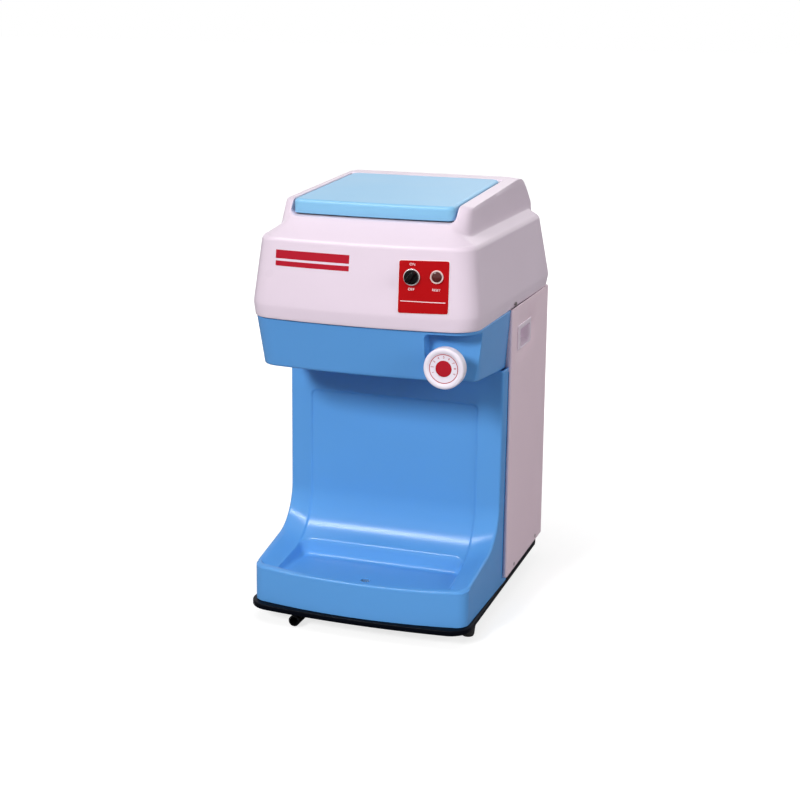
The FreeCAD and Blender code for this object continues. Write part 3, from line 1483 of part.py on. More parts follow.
def make_capacitor():
    low = foot_height + base_floor
    x = 92
    y = motor_y - 25
    can = revolve_z([(0, low), (19, low), (20, low + 1), (20, low + 74), (18, low + 77), (0, low + 77)], x, y)
    terminal = box(x - 6, x - 2, y - 4, y + 4, low + 77, low + 84)
    other = box(x + 2, x + 6, y - 4, y + 4, low + 77, low + 84)
    return fuse_all([can, terminal, other])


# ---------------------------------------------------------------- side and rear panels
def panel_bottom():
    return base_top + panel_bottom_lift


def make_side_panel():
    x1 = panel_half_width
    x0 = x1 - sheet
    top = hood_bottom - seat_gap
    low = panel_bottom()
    rear = rear_panel_y + side_panel_tail
    skin = box(x0, x1, panel_front_y, rear, low, top)
    front_fold = box(tray_half_rear + 0.5, x1, panel_front_y, panel_front_y + sheet, low, top)
    rear_fold = box(x0 - 12, x1, rear - sheet, rear, low, top)
    foot_fold = box(base_half_width - 14, x1, panel_front_y, rear_panel_y - sheet - 0.5, low, low + sheet)
    head_fold = box(post_x + 5, x1, panel_front_y, panel_front_y + sheet,
                    underside_front - band_floor_drop + 0.6, top)
    inner_x = hood_half_front - hood_shell - 5.0
    joggle = box(inner_x - sheet, x1, panel_front_y + sheet, rear - 24, top - 2, top)
    tab = box(inner_x - sheet, inner_x, panel_front_y + sheet, rear - 24, top - 2, top + 12)
    foot_fold = foot_fold.cut(box(0, tray_half_rear + 0.5, panel_front_y - 1, column_rear + 3, low - 1, low + 10))
    panel = fuse_all([skin, front_fold, head_fold, rear_fold, foot_fold, joggle, tab])
    window = box(x0 - 20, x1 + 5, grip_front_y - 2.4, grip_front_y + grip_length + 2.4, grip_bottom - 2.4,
                 grip_bottom + grip_height + 2.4)
    panel = panel.cut(window)
    y, z = screw_place()
    return panel.cut(rod(1.8, 400, Vec(0, y, z), X_AXIS))


def make_grip_cup():
    """Moulded hand hold set into a side panel: a frame and a cup whose roof can be gripped."""
    x1 = panel_half_width
    y0 = grip_front_y
    y1 = y0 + grip_length
    z0 = grip_bottom
    z1 = z0 + grip_height
    frame = box(x1, x1 + 1.6, y0 - grip_frame_front, y1 + grip_frame_rear, z0 - grip_frame_bottom, z1 + grip_frame_top)
    outer = box(x1 - grip_depth, x1, y0 - 2, y1 + 2, z0 - 2, z1 + 2)
    cup = frame.fuse(outer)
    hollow = face_of([Vec(x1 + 2, y0, z0 - 0.2), Vec(x1 + 2, y0, z1), Vec(x1 - grip_depth + 2, y0, z1),
                      Vec(x1 - grip_depth + 2, y0, z0 + 6)]).extrude(Vec(0, grip_length, 0))
    return cup.cut(hollow).removeSplitter()


def make_rear_panel():
    half = panel_half_width - sheet - 0.4
    low = panel_bottom()
    top = hood_bottom - seat_gap
    panel = box(-half, half, rear_panel_y - sheet, rear_panel_y, low, top)
    cover_half = panel_half_width - sheet - 12.5
    cover = box(-cover_half, cover_half, rear_panel_y - sheet, rear_panel_y + side_panel_tail - 2, top - sheet, top)
    panel = panel.fuse(cover).removeSplitter()
    for column in (-1, 1):
        for row in range(louvre_count):
            z = low + 190 + row * louvre_pitch
            x = column * 62
            slot = rounded_rectangle(x - louvre_width / 2, x + louvre_width / 2, z, z + louvre_height,
                                     louvre_height / 2 - 0.01, 0)
            cut = Part.Face(slot).extrude(Vec(0, 0, 20))
            cut.rotate(Vec(0, 0, 0), X_AXIS, 90)
            cut.translate(Vec(0, rear_panel_y + 10, 0))
            panel = panel.cut(cut)
    return panel.cut(rod(gland_diameter / 2 - 2.5, 20, gland_place() - Y_AXIS * 10, Y_AXIS))


def gland_place():
    return Vec(90, rear_panel_y, panel_bottom() + 40)


def make_gland():
    place = gland_place()
    bore = cord_hole_diameter / 2
    radius = gland_diameter / 2
    profile = [(bore, rear_panel_y - sheet - 8), (radius - 2.8, rear_panel_y - sheet - 8),
               (radius - 2.8, rear_panel_y), (radius, rear_panel_y), (radius, rear_panel_y + 3),
               (radius - 2.5, rear_panel_y + 6), (bore + 1.8, rear_panel_y + 13), (bore, rear_panel_y + 13)]
    return revolve_y(profile, place.x, place.z)


def make_screw_head(point, axis):
    return rod(3.0, 1.2, point, axis)


def make_hood_screws():
    y, z = screw_place()
    share = (y - hood_front - hood_bow) / (rear_y - hood_front - hood_bow)
    x = hood_half_front + (hood_half_rear - hood_half_front) * share - hood_lip_tuck * 0.72
    return pair(make_screw_head(Vec(x, y, z), X_AXIS).fuse(rod(1.6, 12, Vec(x - 12, y, z), X_AXIS)))


def make_panel_screws():
    screws = []
    for y in (panel_front_y + 42, rear_panel_y - 30):
        head = rod(2.8, 0.8, Vec(panel_half_width, y, panel_bottom() + 6), X_AXIS)
        screws.extend([head, mirrored(head)])
    return Part.makeCompound(screws)


def make_rear_screws():
    heads = []
    for x in (-post_x + 11, post_x - 11):
        for z in (panel_bottom() + 20, hood_bottom - 22):
            heads.append(rod(3, 1.6, Vec(x, rear_panel_y, z), Y_AXIS))
    return Part.makeCompound(heads)


# ---------------------------------------------------------------- the parts
def make_parts():
    side_panel = make_side_panel()
    grip = make_grip_cup()
    return {
        "base_pan": make_base_pan(),
        "rubber_feet": make_feet(),
        "front_body": make_front_body(),
        "drain_strainer": make_drain_strainer(),
        "drain_pipe": make_drain_pipe(),
        "head_band": make_head_band(),
        "chute_collar": make_chute(),
        "hood": make_hood(),
        "hood_screws": make_hood_screws(),
        "lid": make_lid(),
        "lid_hinge_pins": make_hinge_pins(),
        "lid_bumpers": make_bumpers(),
        "control_plate": make_control_plate(),
        "switch_bezel": make_switch_bezel(),
        "switch_body": make_switch_body(),
        "switch_knob": make_switch_knob(),
        "protector_bezel": make_protector_bezel(),
        "protector_body": make_protector_body(),
        "protector_button": make_protector_button(),
        "dial_knob": make_dial_knob(),
        "dial_ring": make_dial_ring(),
        "dial_cap": make_dial_cap(),
        "dial_shaft": make_dial_shaft(),
        "dial_bush": make_dial_bush(),
        "dial_shaft_block": make_dial_block(),
        "blade_holder": make_blade_holder(),
        "blade": make_blade(),
        "blade_screws": make_blade_screws(),
        "holder_guide_pins": make_guide_pins(),
        "deck_plate": make_deck(),
        "ice_hopper": make_hopper(),
        "hopper_bolts": make_hopper_bolts(),
        "blade_plate": make_blade_plate(),
        "rotor": make_rotor(),
        "rotor_shaft": make_rotor_shaft(),
        "rotor_nut": make_rotor_nut(),
        "rotor_bearings": make_bearings(),
        "bearing_housing": make_bearing_housing(),
        "rotor_pulley": make_rotor_pulley(),
        "drive_belt": make_belt(),
        "motor_pulley": make_motor_pulley(),
        "motor_shaft": make_motor_shaft(),
        "motor": make_motor(),
        "motor_bracket": make_motor_bracket(),
        "motor_bolts": make_motor_bolts(),
        "frame_posts": make_posts(),
        "capacitor": make_capacitor(),
        "side_panel_right": side_panel,
        "side_panel_left": mirrored(side_panel),
        "grip_cup_right": grip,
        "grip_cup_left": mirrored(grip),
        "panel_screws": make_panel_screws(),
        "rear_panel": make_rear_panel(),
        "rear_screws": make_rear_screws(),
        "cord_gland": make_gland(),
    }


def main():
    os.makedirs("parts", exist_ok=True)
    for name, shape in make_parts().items():
        shape.exportStep("parts/" + name + ".step")
        print(name, len(shape.Solids), round(shape.Volume), shape.isValid())


if __name__ == "__main__":
    main()
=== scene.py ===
"""Finished look of a counter-top ice shaver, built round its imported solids.

Lengths inside the builders are millimetres in the shared frame: X right, -Y towards the user, Z up.
"""

import json
import logging
import math
from dataclasses import dataclass, field
from enum import Enum
from typing import Callable, Optional, Sequence

import bmesh
import bpy
import numpy as np
from mathutils import Matrix, Vector

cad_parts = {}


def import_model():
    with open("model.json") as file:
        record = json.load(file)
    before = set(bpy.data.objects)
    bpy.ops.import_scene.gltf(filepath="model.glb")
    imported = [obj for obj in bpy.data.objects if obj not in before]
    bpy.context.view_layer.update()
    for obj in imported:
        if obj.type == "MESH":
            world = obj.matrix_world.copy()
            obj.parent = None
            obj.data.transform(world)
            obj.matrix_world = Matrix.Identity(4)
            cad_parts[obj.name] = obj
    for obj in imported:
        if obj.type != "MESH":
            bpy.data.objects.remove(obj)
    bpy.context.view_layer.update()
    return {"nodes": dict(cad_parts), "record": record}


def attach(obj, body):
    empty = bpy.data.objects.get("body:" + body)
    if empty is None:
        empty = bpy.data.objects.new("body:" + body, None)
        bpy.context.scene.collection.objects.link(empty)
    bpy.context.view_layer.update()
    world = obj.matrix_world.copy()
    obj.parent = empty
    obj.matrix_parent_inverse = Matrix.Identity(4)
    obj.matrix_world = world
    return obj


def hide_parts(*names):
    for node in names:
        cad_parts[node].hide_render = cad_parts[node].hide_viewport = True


LOG = logging.getLogger("ice_shaver")
MM = 0.001
Array = np.ndarray
MIRROR = np.array([-1.0, 1.0])


# ------------------------------------------------------------------ shape rules
def smooth_min(a: Array, b: Array, k: float) -> Array:
    """The lower of two heights: b + (a - b) h - k h (1 - h), with h their soft share over a width k.

    Args:
        a: First heights.
        b: Second heights.
        k: Width over which the crease is rounded.
    Returns:
        The rounded lower height.
    """
    h = np.clip(0.5 + 0.5 * (b - a) / k, 0.0, 1.0)
    return b * (1.0 - h) + a * h - k * h * (1.0 - h)


def smooth_max(a: Array, b: Array, k: float) -> Array:
    """The higher of two heights, as the turned-over smooth_min."""
    return -smooth_min(-np.asarray(a, float), -np.asarray(b, float), k)


def soft_ramp(t: Array, k: float) -> Array:
    """A ramp from 0 to 1 along t whose two ends are rounded over a share k."""
    return smooth_min(smooth_max(t, np.zeros_like(t), k), np.ones_like(t), k)


def step_between(t: Array, low: float, high: float) -> Array:
    """3s^2 - 2s^3 of the share s of t between low and high."""
    s = np.clip((t - low) / (high - low), 0.0, 1.0)
    return s * s * (3.0 - 2.0 * s)


def rolled(e: Array, radius: float) -> Array:
    """Drop of a rounded edge at a distance e inside it: r - sqrt(r^2 - (r - e)^2)."""
    near = radius - np.clip(e, 0.0, radius)
    return radius - np.sqrt(np.maximum(radius * radius - near * near, 0.0))


def corner_distance(a: Array, b: Array, radius: float) -> Array:
    """Distance inside two edges that meet in a round corner.

    Where both distances are under the radius it is r - |(r - a, r - b)|, else the smaller one.

    Args:
        a: Distance inside the first edge.
        b: Distance inside the second edge.
        radius: Corner radius.
    Returns:
        Signed distance, positive inside.
    """
    round_part = radius - np.hypot(radius - a, radius - b)
    return np.where((a < radius) & (b < radius), round_part, np.minimum(a, b))


def bow_radius(half: float, bow: float) -> float:
    """Radius of an arc that rises by the bow over a half width: (half^2 + bow^2) / (2 bow)."""
    return (half ** 2 + bow ** 2) / (2.0 * bow)


def inside_bow(x: Array, y: Array, front: float, half: float, bow: float) -> Array:
    """Distance inside a bowed front: radius - |(x, y - front - radius)|."""
    radius = bow_radius(half, bow)
    return radius - np.hypot(x, y - front - radius)


def inside_window(y: Array, z: Array, low: Sequence[float], high: Sequence[float], radius: float) -> Array:
    """Distance inside a rounded window, as the least of the distances at its four corners.

    Args:
        y: Places along.
        z: Heights.
        low: The window's first corner, (y, z).
        high: The corner across from it.
        radius: Its corner radius.
    Returns:
        Signed distance, positive inside.
    """
    corners = [corner_distance(along, up, radius) for along in (y - low[0], high[0] - y)
               for up in (z - low[1], high[1] - z)]
    return np.minimum.reduce(corners)


def profile_normal(y: Array, z: Array) -> tuple[Array, Array]:
    """Unit direction across a profile that runs down the rows: (dz, dy) over its length."""
    along_y, along_z = np.gradient(y, axis=0), np.gradient(z, axis=0)
    size = np.hypot(along_y, along_z) + 1e-9
    return along_z / size, along_y / size


def join_spans(*spans: Sequence[float], digits: int = 3) -> Array:
    """Puts spans of places together, sorted, each place once to so many decimals."""
    return np.unique(np.round(np.concatenate(spans), digits))


def at_height(flat: Array, z: Array | float) -> Array:
    """Lifts plan points to one height, or each to its own."""
    return np.column_stack([flat, np.broadcast_to(z, len(flat))])


@dataclass(frozen=True)
class BowedOutline:
    """A rounded rectangle whose front is one shallow arc and whose sides may taper."""

    front: float
    rear: float
    half_front: float
    half_rear: float
    bow: float
    front_radius: float
    rear_radius: float
    front_x: tuple[float, ...] = ()
    corner_count: int = 14
    side_count: int = 28
    rear_corner_count: int = 8
    rear_count: int = 14

    def half(self, closed: bool = True) -> tuple[Array, Array]:
        """Right half, from the middle of the front round to the middle of the rear.

        Args:
            closed: True for the whole half, False to stop where the side ends.
        Returns:
            Points and unit normals, both (n, 2).
        """
        big = bow_radius(self.half_front, self.bow)
        centre = np.array([0.0, self.front + big])
        corner = np.array([self.half_front, self.front + self.bow])
        back = np.array([self.half_rear, self.rear])
        along = (back - corner) / np.linalg.norm(back - corner)
        outward = np.array([along[1], -along[0]])
        start = corner - outward * self.front_radius - centre
        reach = big - self.front_radius
        half_b = start @ along
        step = -half_b - math.sqrt(half_b ** 2 - start @ start + reach ** 2)
        c1 = centre + start + along * step
        toward = (c1 - centre) / np.linalg.norm(c1 - centre)
        turn_back = (self.rear - self.rear_radius - back[1] + outward[1] * self.rear_radius) / along[1]
        c2 = back + along * turn_back - outward * self.rear_radius
        a1 = math.atan2(toward[1], toward[0])
        a2 = math.atan2(outward[1], outward[0])
        if self.front_x:
            xs = np.array([x for x in self.front_x if x < big * math.cos(a1) - 0.2])
            front_angles = np.append(np.arcsin(xs / big) - math.pi / 2, a1)
        else:
            front_angles = np.linspace(-math.pi / 2, a1, 30)
        parts = [self._arc(centre, big, front_angles),
                 self._arc(c1, self.front_radius, np.linspace(a1, a2, self.corner_count)[1:])]
        share = np.linspace(0.0, 1.0, self.side_count)[1:, None]
        a = c1 + outward * self.front_radius
        b = c2 + outward * self.rear_radius
        parts.append((a + (b - a) * share, np.repeat(outward[None, :], len(share), 0)))
        if closed:
            angles = np.linspace(a2, math.pi / 2, self.rear_corner_count)[1:]
            parts.append(self._arc(c2, self.rear_radius, angles))
            share = np.linspace(1.0, 0.0, self.rear_count)[1:, None]
            line = np.hstack([c2[0] * share, np.full_like(share, self.rear)])
            parts.append((line, np.repeat(np.array([[0.0, 1.0]]), len(share), 0)))
        return np.vstack([p[0] for p in parts]), np.vstack([p[1] for p in parts])

    @staticmethod
    def _arc(centre: Array, radius: float, angles: Array) -> tuple[Array, Array]:
        """Points centre + r (cos a, sin a) and their normals."""
        normal = np.column_stack([np.cos(angles), np.sin(angles)])
        return centre + radius * normal, normal

    def ring(self) -> Array:
        """The closed outline, from the front's middle, right side first."""
        points = self.half()[0]
        return np.vstack([points, points[-2:0:-1] * MIRROR])

    def open_run(self) -> tuple[Array, Array]:
        """The outline without its rear, from the left side's end round the front to the right's."""
        points, normals = self.half(closed=False)
        return np.vstack([points[:0:-1] * MIRROR, points]), np.vstack([normals[:0:-1] * MIRROR, normals])


def place_object(name: str, data: bpy.types.ID) -> bpy.types.Object:
    """Puts mesh, text, lamp or camera data into the scene as an object at the origin."""
    piece = bpy.data.objects.new(name, data)
    bpy.context.scene.collection.objects.link(piece)
    return piece


class Shell:
    """Grids of points gathered into one mesh object."""

    def __init__(self, name: str) -> None:
        """Starts an empty mesh with that piece name."""
        self.name = name
        self.points: list[Array] = []
        self.faces: list[Array] = []
        self.count = 0

    def grid(self, points: Array, wrap: bool = False, keep: Optional[Array] = None) -> None:
        """Adds the quads between neighbouring points of a grid.

        Args:
            points: (rows, columns, 3) in millimetres.
            wrap: Joins the last column to the first.
            keep: (rows - 1, columns - 1) mask of the quads to keep.
        """
        rows, columns = points.shape[:2]
        index = np.arange(rows * columns).reshape(rows, columns) + self.count
        if wrap:
            index = np.hstack([index, index[:, :1]])
        quads = np.stack([index[:-1, :-1], index[:-1, 1:], index[1:, 1:], index[1:, :-1]], -1)
        self.faces.append(quads[keep] if keep is not None else quads.reshape(-1, 4))
        self.points.append(points.reshape(-1, 3))
        self.count += rows * columns

    def block(self, low: Sequence[float], high: Sequence[float]) -> None:
        """Adds a closed box between two corners, as a ring of its four sides and two lids."""
        x0, y0, z0 = low
        x1, y1, z1 = high
        loop = np.array([[x0, y0], [x1, y0], [x1, y1], [x0, y1]])
        centre = loop.mean(0)
        rings = [(centre + (loop - centre) * s, z) for s, z in ((0.0, z0), (1.0, z0), (1.0, z1), (0.0, z1))]
        self.grid(np.stack([at_height(xy, z) for xy, z in rings]), wrap=True)

    def make(self, thickness: float = 0.0, facing: Optional[Sequence[float]] = None,
             sharp: float = 32.0, merge: float = 0.01) -> bpy.types.Object:
        """Puts the grids into a mesh, welds seams, points the faces outwards and smooths it.

        Args:
            thickness: Wall added on the inside, 0 for a closed piece.
            facing: A direction that most of an open piece's area faces.
            sharp: Angle in degrees above which an edge stays crisp.
            merge: Distance in millimetres within which points are welded.
        Returns:
            The new object, at the origin.
        """
        mesh = bpy.data.meshes.new(self.name)
        mesh.from_pydata(np.vstack(self.points) * MM, [], np.vstack(self.faces).tolist())
        work = bmesh.new()
        work.from_mesh(mesh)
        bmesh.ops.remove_doubles(work, verts=work.verts, dist=merge * MM)
        bmesh.ops.dissolve_degenerate(work, edges=work.edges, dist=1e-7)
        bmesh.ops.recalc_face_normals(work, faces=work.faces)
        if facing is not None:
            want = Vector(facing)
            total = sum((f.normal * f.calc_area() for f in work.faces), Vector())
            if total.dot(want) < 0.0:
                bmesh.ops.reverse_faces(work, faces=work.faces)
        work.to_mesh(mesh)
        work.free()
        mesh.shade_smooth()
        mesh.set_sharp_from_angle(angle=math.radians(sharp))
        piece = place_object(self.name, mesh)
        if thickness > 0.0:
            wall = piece.modifiers.new("wall", "SOLIDIFY")
            wall.thickness = thickness * MM
            wall.offset = -1.0
        return piece


def lathe(name: str, profile: Sequence[tuple[float, float]], place: Array, axis: Array,
          segments: int = 72, sharp: float = 30.0) -> bpy.types.Object:
    """A turned piece: each (r, h) of the profile becomes place + h axis + r (cos t u + sin t v).

    Args:
        name: Piece name.
        profile: (radius, height) pairs, closed on the axis at both ends.
        place: Origin of the axis, millimetres.
        axis: Unit direction of growing height.
        segments: Points round the axis.
        sharp: Crisp edge angle in degrees.
    Returns:
        The new object.
    """
    u, v = across_axis(axis)
    turn = np.linspace(0.0, 2.0 * math.pi, segments, endpoint=False)
    r = np.array([p[0] for p in profile])[:, None, None]
    h = np.array([p[1] for p in profile])[:, None, None]
    rim = np.cos(turn)[None, :, None] * u + np.sin(turn)[None, :, None] * v
    shell = Shell(name)
    shell.grid(place + h * axis + r * rim, wrap=True)
    return shell.make(sharp=sharp, merge=0.003)


def across_axis(axis: Array) -> tuple[Array, Array]:
    """Two unit directions at right angles to an axis, the first as level as it can be."""
    axis = np.asarray(axis, float)
    level = np.array([0.0, 0.0, 1.0]) if abs(axis[2]) < 0.9 else np.array([1.0, 0.0, 0.0])
    u = np.cross(level, axis)
    u /= np.linalg.norm(u)
    return u, np.cross(axis, u)


def rounded_corner(cx: float, cy: float, radius: float, start: float, end: float,
                   count: int = 5) -> list[tuple[float, float]]:
    """Points of an arc of a profile, angles in degrees."""
    turn = np.radians(np.linspace(start, end, count))
    return list(zip(cx + radius * np.cos(turn), cy + radius * np.sin(turn)))


def punch(grid: Array, rows: tuple[int, int], columns: tuple[int, int], centre: tuple[float, float],
          radius: float, height: Callable[[Array], Array], depth: float) -> tuple[Array, Array]:
    """Replaces a window of a grid by rings that shrink from its border to a round hole with a wall.

    Ring k lies at (1 - s) border + s circle, both taken at the same polar angle.

    Args:
        grid: The grid of points.
        rows: First and last row of the window.
        columns: First and last column of the window.
        centre: The hole's middle.
        radius: The hole's radius.
        height: Gives the surface's height for (n, 2) places.
        depth: How far the hole's wall runs down.
    Returns:
        The mask of the quads to keep and the (rings, n, 3) patch.
    """
    i0, i1 = rows
    j0, j1 = columns
    keep = np.ones((grid.shape[0] - 1, grid.shape[1] - 1), bool)
    keep[i0:i1, j0:j1] = False
    border = np.vstack([grid[i0, j0:j1], grid[i0:i1, j1], grid[i1, j1:j0:-1], grid[i1:i0:-1, j0]])
    middle = np.array(centre)
    angle = np.arctan2(border[:, 1] - middle[1], border[:, 0] - middle[0])
    circle = middle + radius * np.column_stack([np.cos(angle), np.sin(angle)])
    rings = [border]
    for share in (0.35, 0.7, 0.93, 1.0):
        flat = border[:, :2] * (1.0 - share) + circle * share
        rings.append(at_height(flat, height(flat)))
    rings += [at_height(circle, height(circle) - drop) for drop in (0.6, depth)]
    return keep, np.stack(rings)


# ------------------------------------------------------------------ finishes
class Grain(Enum):
    """What the close surface of a finish looks like."""

    MOULDED = "moulded"
    PAINTED = "painted"
    BRUSHED = "brushed"
    CAST = "cast"
    RUBBER = "rubber"


def add_node(tree: bpy.types.NodeTree, kind: str, operation: str = "", **values: object) -> bpy.types.Node:
    """Makes a shader node.

    Args:
        tree: The tree that it goes into.
        kind: Its type, after "ShaderNode".
        operation: What a maths node does.
        values: Its inputs' values by name, with _ for a space.
    Returns:
        The new node.
    """
    node = tree.nodes.new("ShaderNode" + kind)
    if operation:
        node.operation = operation
    set_inputs(node, **values)
    return node


def set_inputs(node: bpy.types.Node, **values: object) -> None:
    """Sets a node's inputs by name, with _ for a space."""
    for label, value in values.items():
        node.inputs[label.replace("_", " ")].default_value = value


def wire(tree: bpy.types.NodeTree, *pairs: tuple[bpy.types.NodeSocket, bpy.types.NodeSocket]) -> None:
    """Links each pair, from an output to an input."""
    for source, target in pairs:
        tree.links.new(source, target)


def from_hex(code: str) -> tuple[float, float, float, float]:
    """A screen colour code as linear light."""
    parts = [int(code[i:i + 2], 16) / 255.0 for i in (0, 2, 4)]
    linear = [p / 12.92 if p <= 0.04045 else ((p + 0.055) / 1.055) ** 2.4 for p in parts]
    return linear[0], linear[1], linear[2], 1.0


@dataclass(frozen=True)
class Finish:
    """One surface finish: colour, gloss and the grain of the close surface."""

    name: str
    colour: str
    roughness: float
    grain: Grain = Grain.MOULDED
    metal: float = 0.0
    coat: float = 0.0
    mirror: float = 0.25
    shade: float = 0.04
    relief: float = 0.01
    scale: float = 450.0

    def material(self) -> bpy.types.Material:
        """Makes the material, or returns the one already made."""
        found = bpy.data.materials.get(self.name)
        if found is not None:
            return found
        made = bpy.data.materials.new(self.name)
        made.use_nodes = True
        tree = made.node_tree
        shader = tree.nodes["Principled BSDF"]
        set_inputs(shader, Metallic=self.metal, Coat_Weight=self.coat, Coat_Roughness=0.12,
                   Specular_IOR_Level=self.mirror, IOR=1.48)
        place = add_node(tree, "TexCoord")
        surface = add_node(tree, "Group")
        surface.node_tree = surface_group(self.grain)
        set_inputs(surface, Colour=from_hex(self.colour), Shade=self.shade, Roughness=self.roughness,
                   Scale=self.scale, Relief=self.relief)
        wire(tree, (place.outputs["Object"], surface.inputs["Place"]),
             (surface.outputs["Colour"], shader.inputs["Base Color"]),
             (surface.outputs["Roughness"], shader.inputs["Roughness"]),
             (surface.outputs["Normal"], shader.inputs["Normal"]))
        return made


def surface_group(grain: Grain) -> bpy.types.ShaderNodeTree:
    """The shared close-surface effect: slow colour drift, uneven gloss and a fine relief.

    Args:
        grain: Which kind of surface.
    Returns:
        The node group, built once per grain.
    """
    name = "surface_" + grain.value
    found = bpy.data.node_groups.get(name)
    if found is not None:
        return found
    tree = bpy.data.node_groups.new(name, "ShaderNodeTree")
    for way, kind, labels in (("INPUT", "Vector", ("Place",)), ("INPUT", "Color", ("Colour",)),
                              ("INPUT", "Float", ("Shade", "Roughness", "Scale", "Relief")),
                              ("OUTPUT", "Color", ("Colour",)), ("OUTPUT", "Float", ("Roughness",)),
                              ("OUTPUT", "Vector", ("Normal",))):
        for label in labels:
            tree.interface.new_socket(label, in_out=way, socket_type="NodeSocket" + kind)
    given = tree.nodes.new("NodeGroupInput").outputs
    result = tree.nodes.new("NodeGroupOutput").inputs
    stretch = add_node(tree, "Mapping", Scale=(0.06, 1.0, 6.0) if grain is Grain.BRUSHED else (1.0, 1.0, 1.0))
    slow = add_node(tree, "TexNoise", Scale=7.0, Detail=3.0)
    fine = add_node(tree, "TexNoise", Detail=6.0 if grain in (Grain.CAST, Grain.RUBBER) else 2.0)
    uneven = slow if grain is Grain.MOULDED else fine
    # Colour times 1 + shade (noise - 0.5).
    drift = add_node(tree, "Math", "MULTIPLY_ADD")
    drift.inputs[2].default_value = 1.0
    centre = add_node(tree, "Math", "MULTIPLY_ADD")
    centre.inputs[1].default_value = -0.5
    tint = add_node(tree, "VectorMath", "SCALE")
    gloss = add_node(tree, "MapRange", From_Min=0.3, From_Max=0.7, To_Min=0.9, To_Max=1.15)
    rough = add_node(tree, "Math", "MULTIPLY")
    height = add_node(tree, "Math", "MULTIPLY")
    bump = add_node(tree, "Bump", Strength=1.0, Distance=MM)
    wire(tree, (given["Place"], stretch.inputs["Vector"]), (given["Place"], slow.inputs["Vector"]),
         (stretch.outputs["Vector"], fine.inputs["Vector"]), (given["Scale"], fine.inputs["Scale"]),
         (slow.outputs["Fac"], drift.inputs[0]), (given["Shade"], drift.inputs[1]),
         (given["Shade"], centre.inputs[0]), (drift.outputs[0], centre.inputs[2]),
         (given["Colour"], tint.inputs[0]), (centre.outputs[0], tint.inputs["Scale"]),
         (uneven.outputs["Fac"], gloss.inputs["Value"]), (gloss.outputs[0], rough.inputs[0]),
         (given["Roughness"], rough.inputs[1]), (fine.outputs["Fac"], height.inputs[0]),
         (given["Relief"], height.inputs[1]), (height.outputs[0], bump.inputs["Height"]),
         (tint.outputs[0], result["Colour"]), (rough.outputs[0], result["Roughness"]),
         (bump.outputs["Normal"], result["Normal"]))
    return tree


BODY_BLUE = Finish("blue_moulding", "5EA0E2", 0.24, mirror=0.26, relief=0.006)
LID_BLUE = Finish("pale_blue_moulding", "8AC4EA", 0.30, mirror=0.22, relief=0.006)
SHELL_WHITE = Finish("white_moulding", "E6D6E4", 0.30, mirror=0.24, relief=0.006)
PANEL_WHITE = Finish("white_enamel", "F0D8E4", 0.36, Grain.PAINTED, mirror=0.18, relief=0.02)
BASE_BLACK = Finish("black_base", "04060E", 0.38, Grain.PAINTED, mirror=0.06, relief=0.04, scale=500.0)
FOOT_RUBBER = Finish("foot_rubber", "0C0C0D", 0.55, Grain.RUBBER, mirror=0.15, relief=0.10, scale=900.0)
PLATE_RED = Finish("red_plate", "B20C12", 0.34, Grain.PAINTED, mirror=0.14, relief=0.006, scale=600.0)
PRINT_WHITE = Finish("white_print", "F4E8EC", 0.45, Grain.PAINTED, mirror=0.2, relief=0.0)
PRINT_RED = Finish("red_print", "B2182C", 0.45, Grain.PAINTED, mirror=0.2, relief=0.0)
BRIGHT = Finish("bright_ring", "E4DCDC", 0.18, Grain.BRUSHED, metal=0.9, relief=0.01, scale=500.0)
BEZEL_PALE = Finish("pale_bezel", "E9CFCB", 0.28, relief=0.005)
LENS_RED = Finish("brown_red_button", "4C120E", 0.14, coat=0.5, relief=0.0)
KNOB_WHITE = Finish("white_knob", "EFE8F4", 0.26, mirror=0.3, relief=0.004)
DIAL_RED = Finish("red_dial", "B41E2C", 0.36, mirror=0.15, relief=0.004)
SWITCH_BLACK = Finish("black_knob", "060607", 0.26, mirror=0.14, relief=0.004)
STEEL = Finish("ground_steel", "C9CACB", 0.26, Grain.BRUSHED, metal=1.0, relief=0.03, scale=700.0)
BRASS = Finish("turned_brass", "C8A35C", 0.25, Grain.BRUSHED, metal=1.0, relief=0.03, scale=700.0)
CASTING = Finish("machined_casting", "B4B6B8", 0.42, Grain.CAST, metal=1.0, relief=0.12, scale=800.0)
SCREW = Finish("plated_screw", "8F8A86", 0.30, Grain.BRUSHED, metal=1.0, relief=0.02, scale=900.0)
BELT = Finish("belt_rubber", "141414", 0.60, Grain.RUBBER, mirror=0.15, relief=0.15, scale=1200.0)
MOTOR_GREY = Finish("motor_enamel", "5A5F64", 0.40, Grain.PAINTED, relief=0.08, scale=500.0)
FRAME_GREY = Finish("zinc_plate", "9FA3A5", 0.36, Grain.CAST, metal=0.8, relief=0.04, scale=300.0)
CAN_PALE = Finish("capacitor_can", "D3CEC4", 0.35, relief=0.01)
PIPE_BLACK = Finish("black_pipe", "08080A", 0.35, Grain.RUBBER, mirror=0.15, relief=0.06, scale=600.0)

SLOT_FINISHES: dict[str, Finish] = {
    "base_black": BASE_BLACK, "foot_rubber": FOOT_RUBBER, "body_blue": BODY_BLUE, "lid_blue": LID_BLUE,
    "shell_white": SHELL_WHITE, "panel_white": PANEL_WHITE, "plate_red": PLATE_RED, "bright": BRIGHT,
    "switch_black": SWITCH_BLACK, "bezel_pale": BEZEL_PALE, "lens_red": LENS_RED, "dial_red": DIAL_RED,
    "steel": STEEL, "brass_part": BRASS, "casting": CASTING, "screw": SCREW, "belt_rubber": BELT,
    "motor_grey": MOTOR_GREY, "frame_grey": FRAME_GREY, "capacitor_pale": CAN_PALE, "pipe_black": PIPE_BLACK,
}


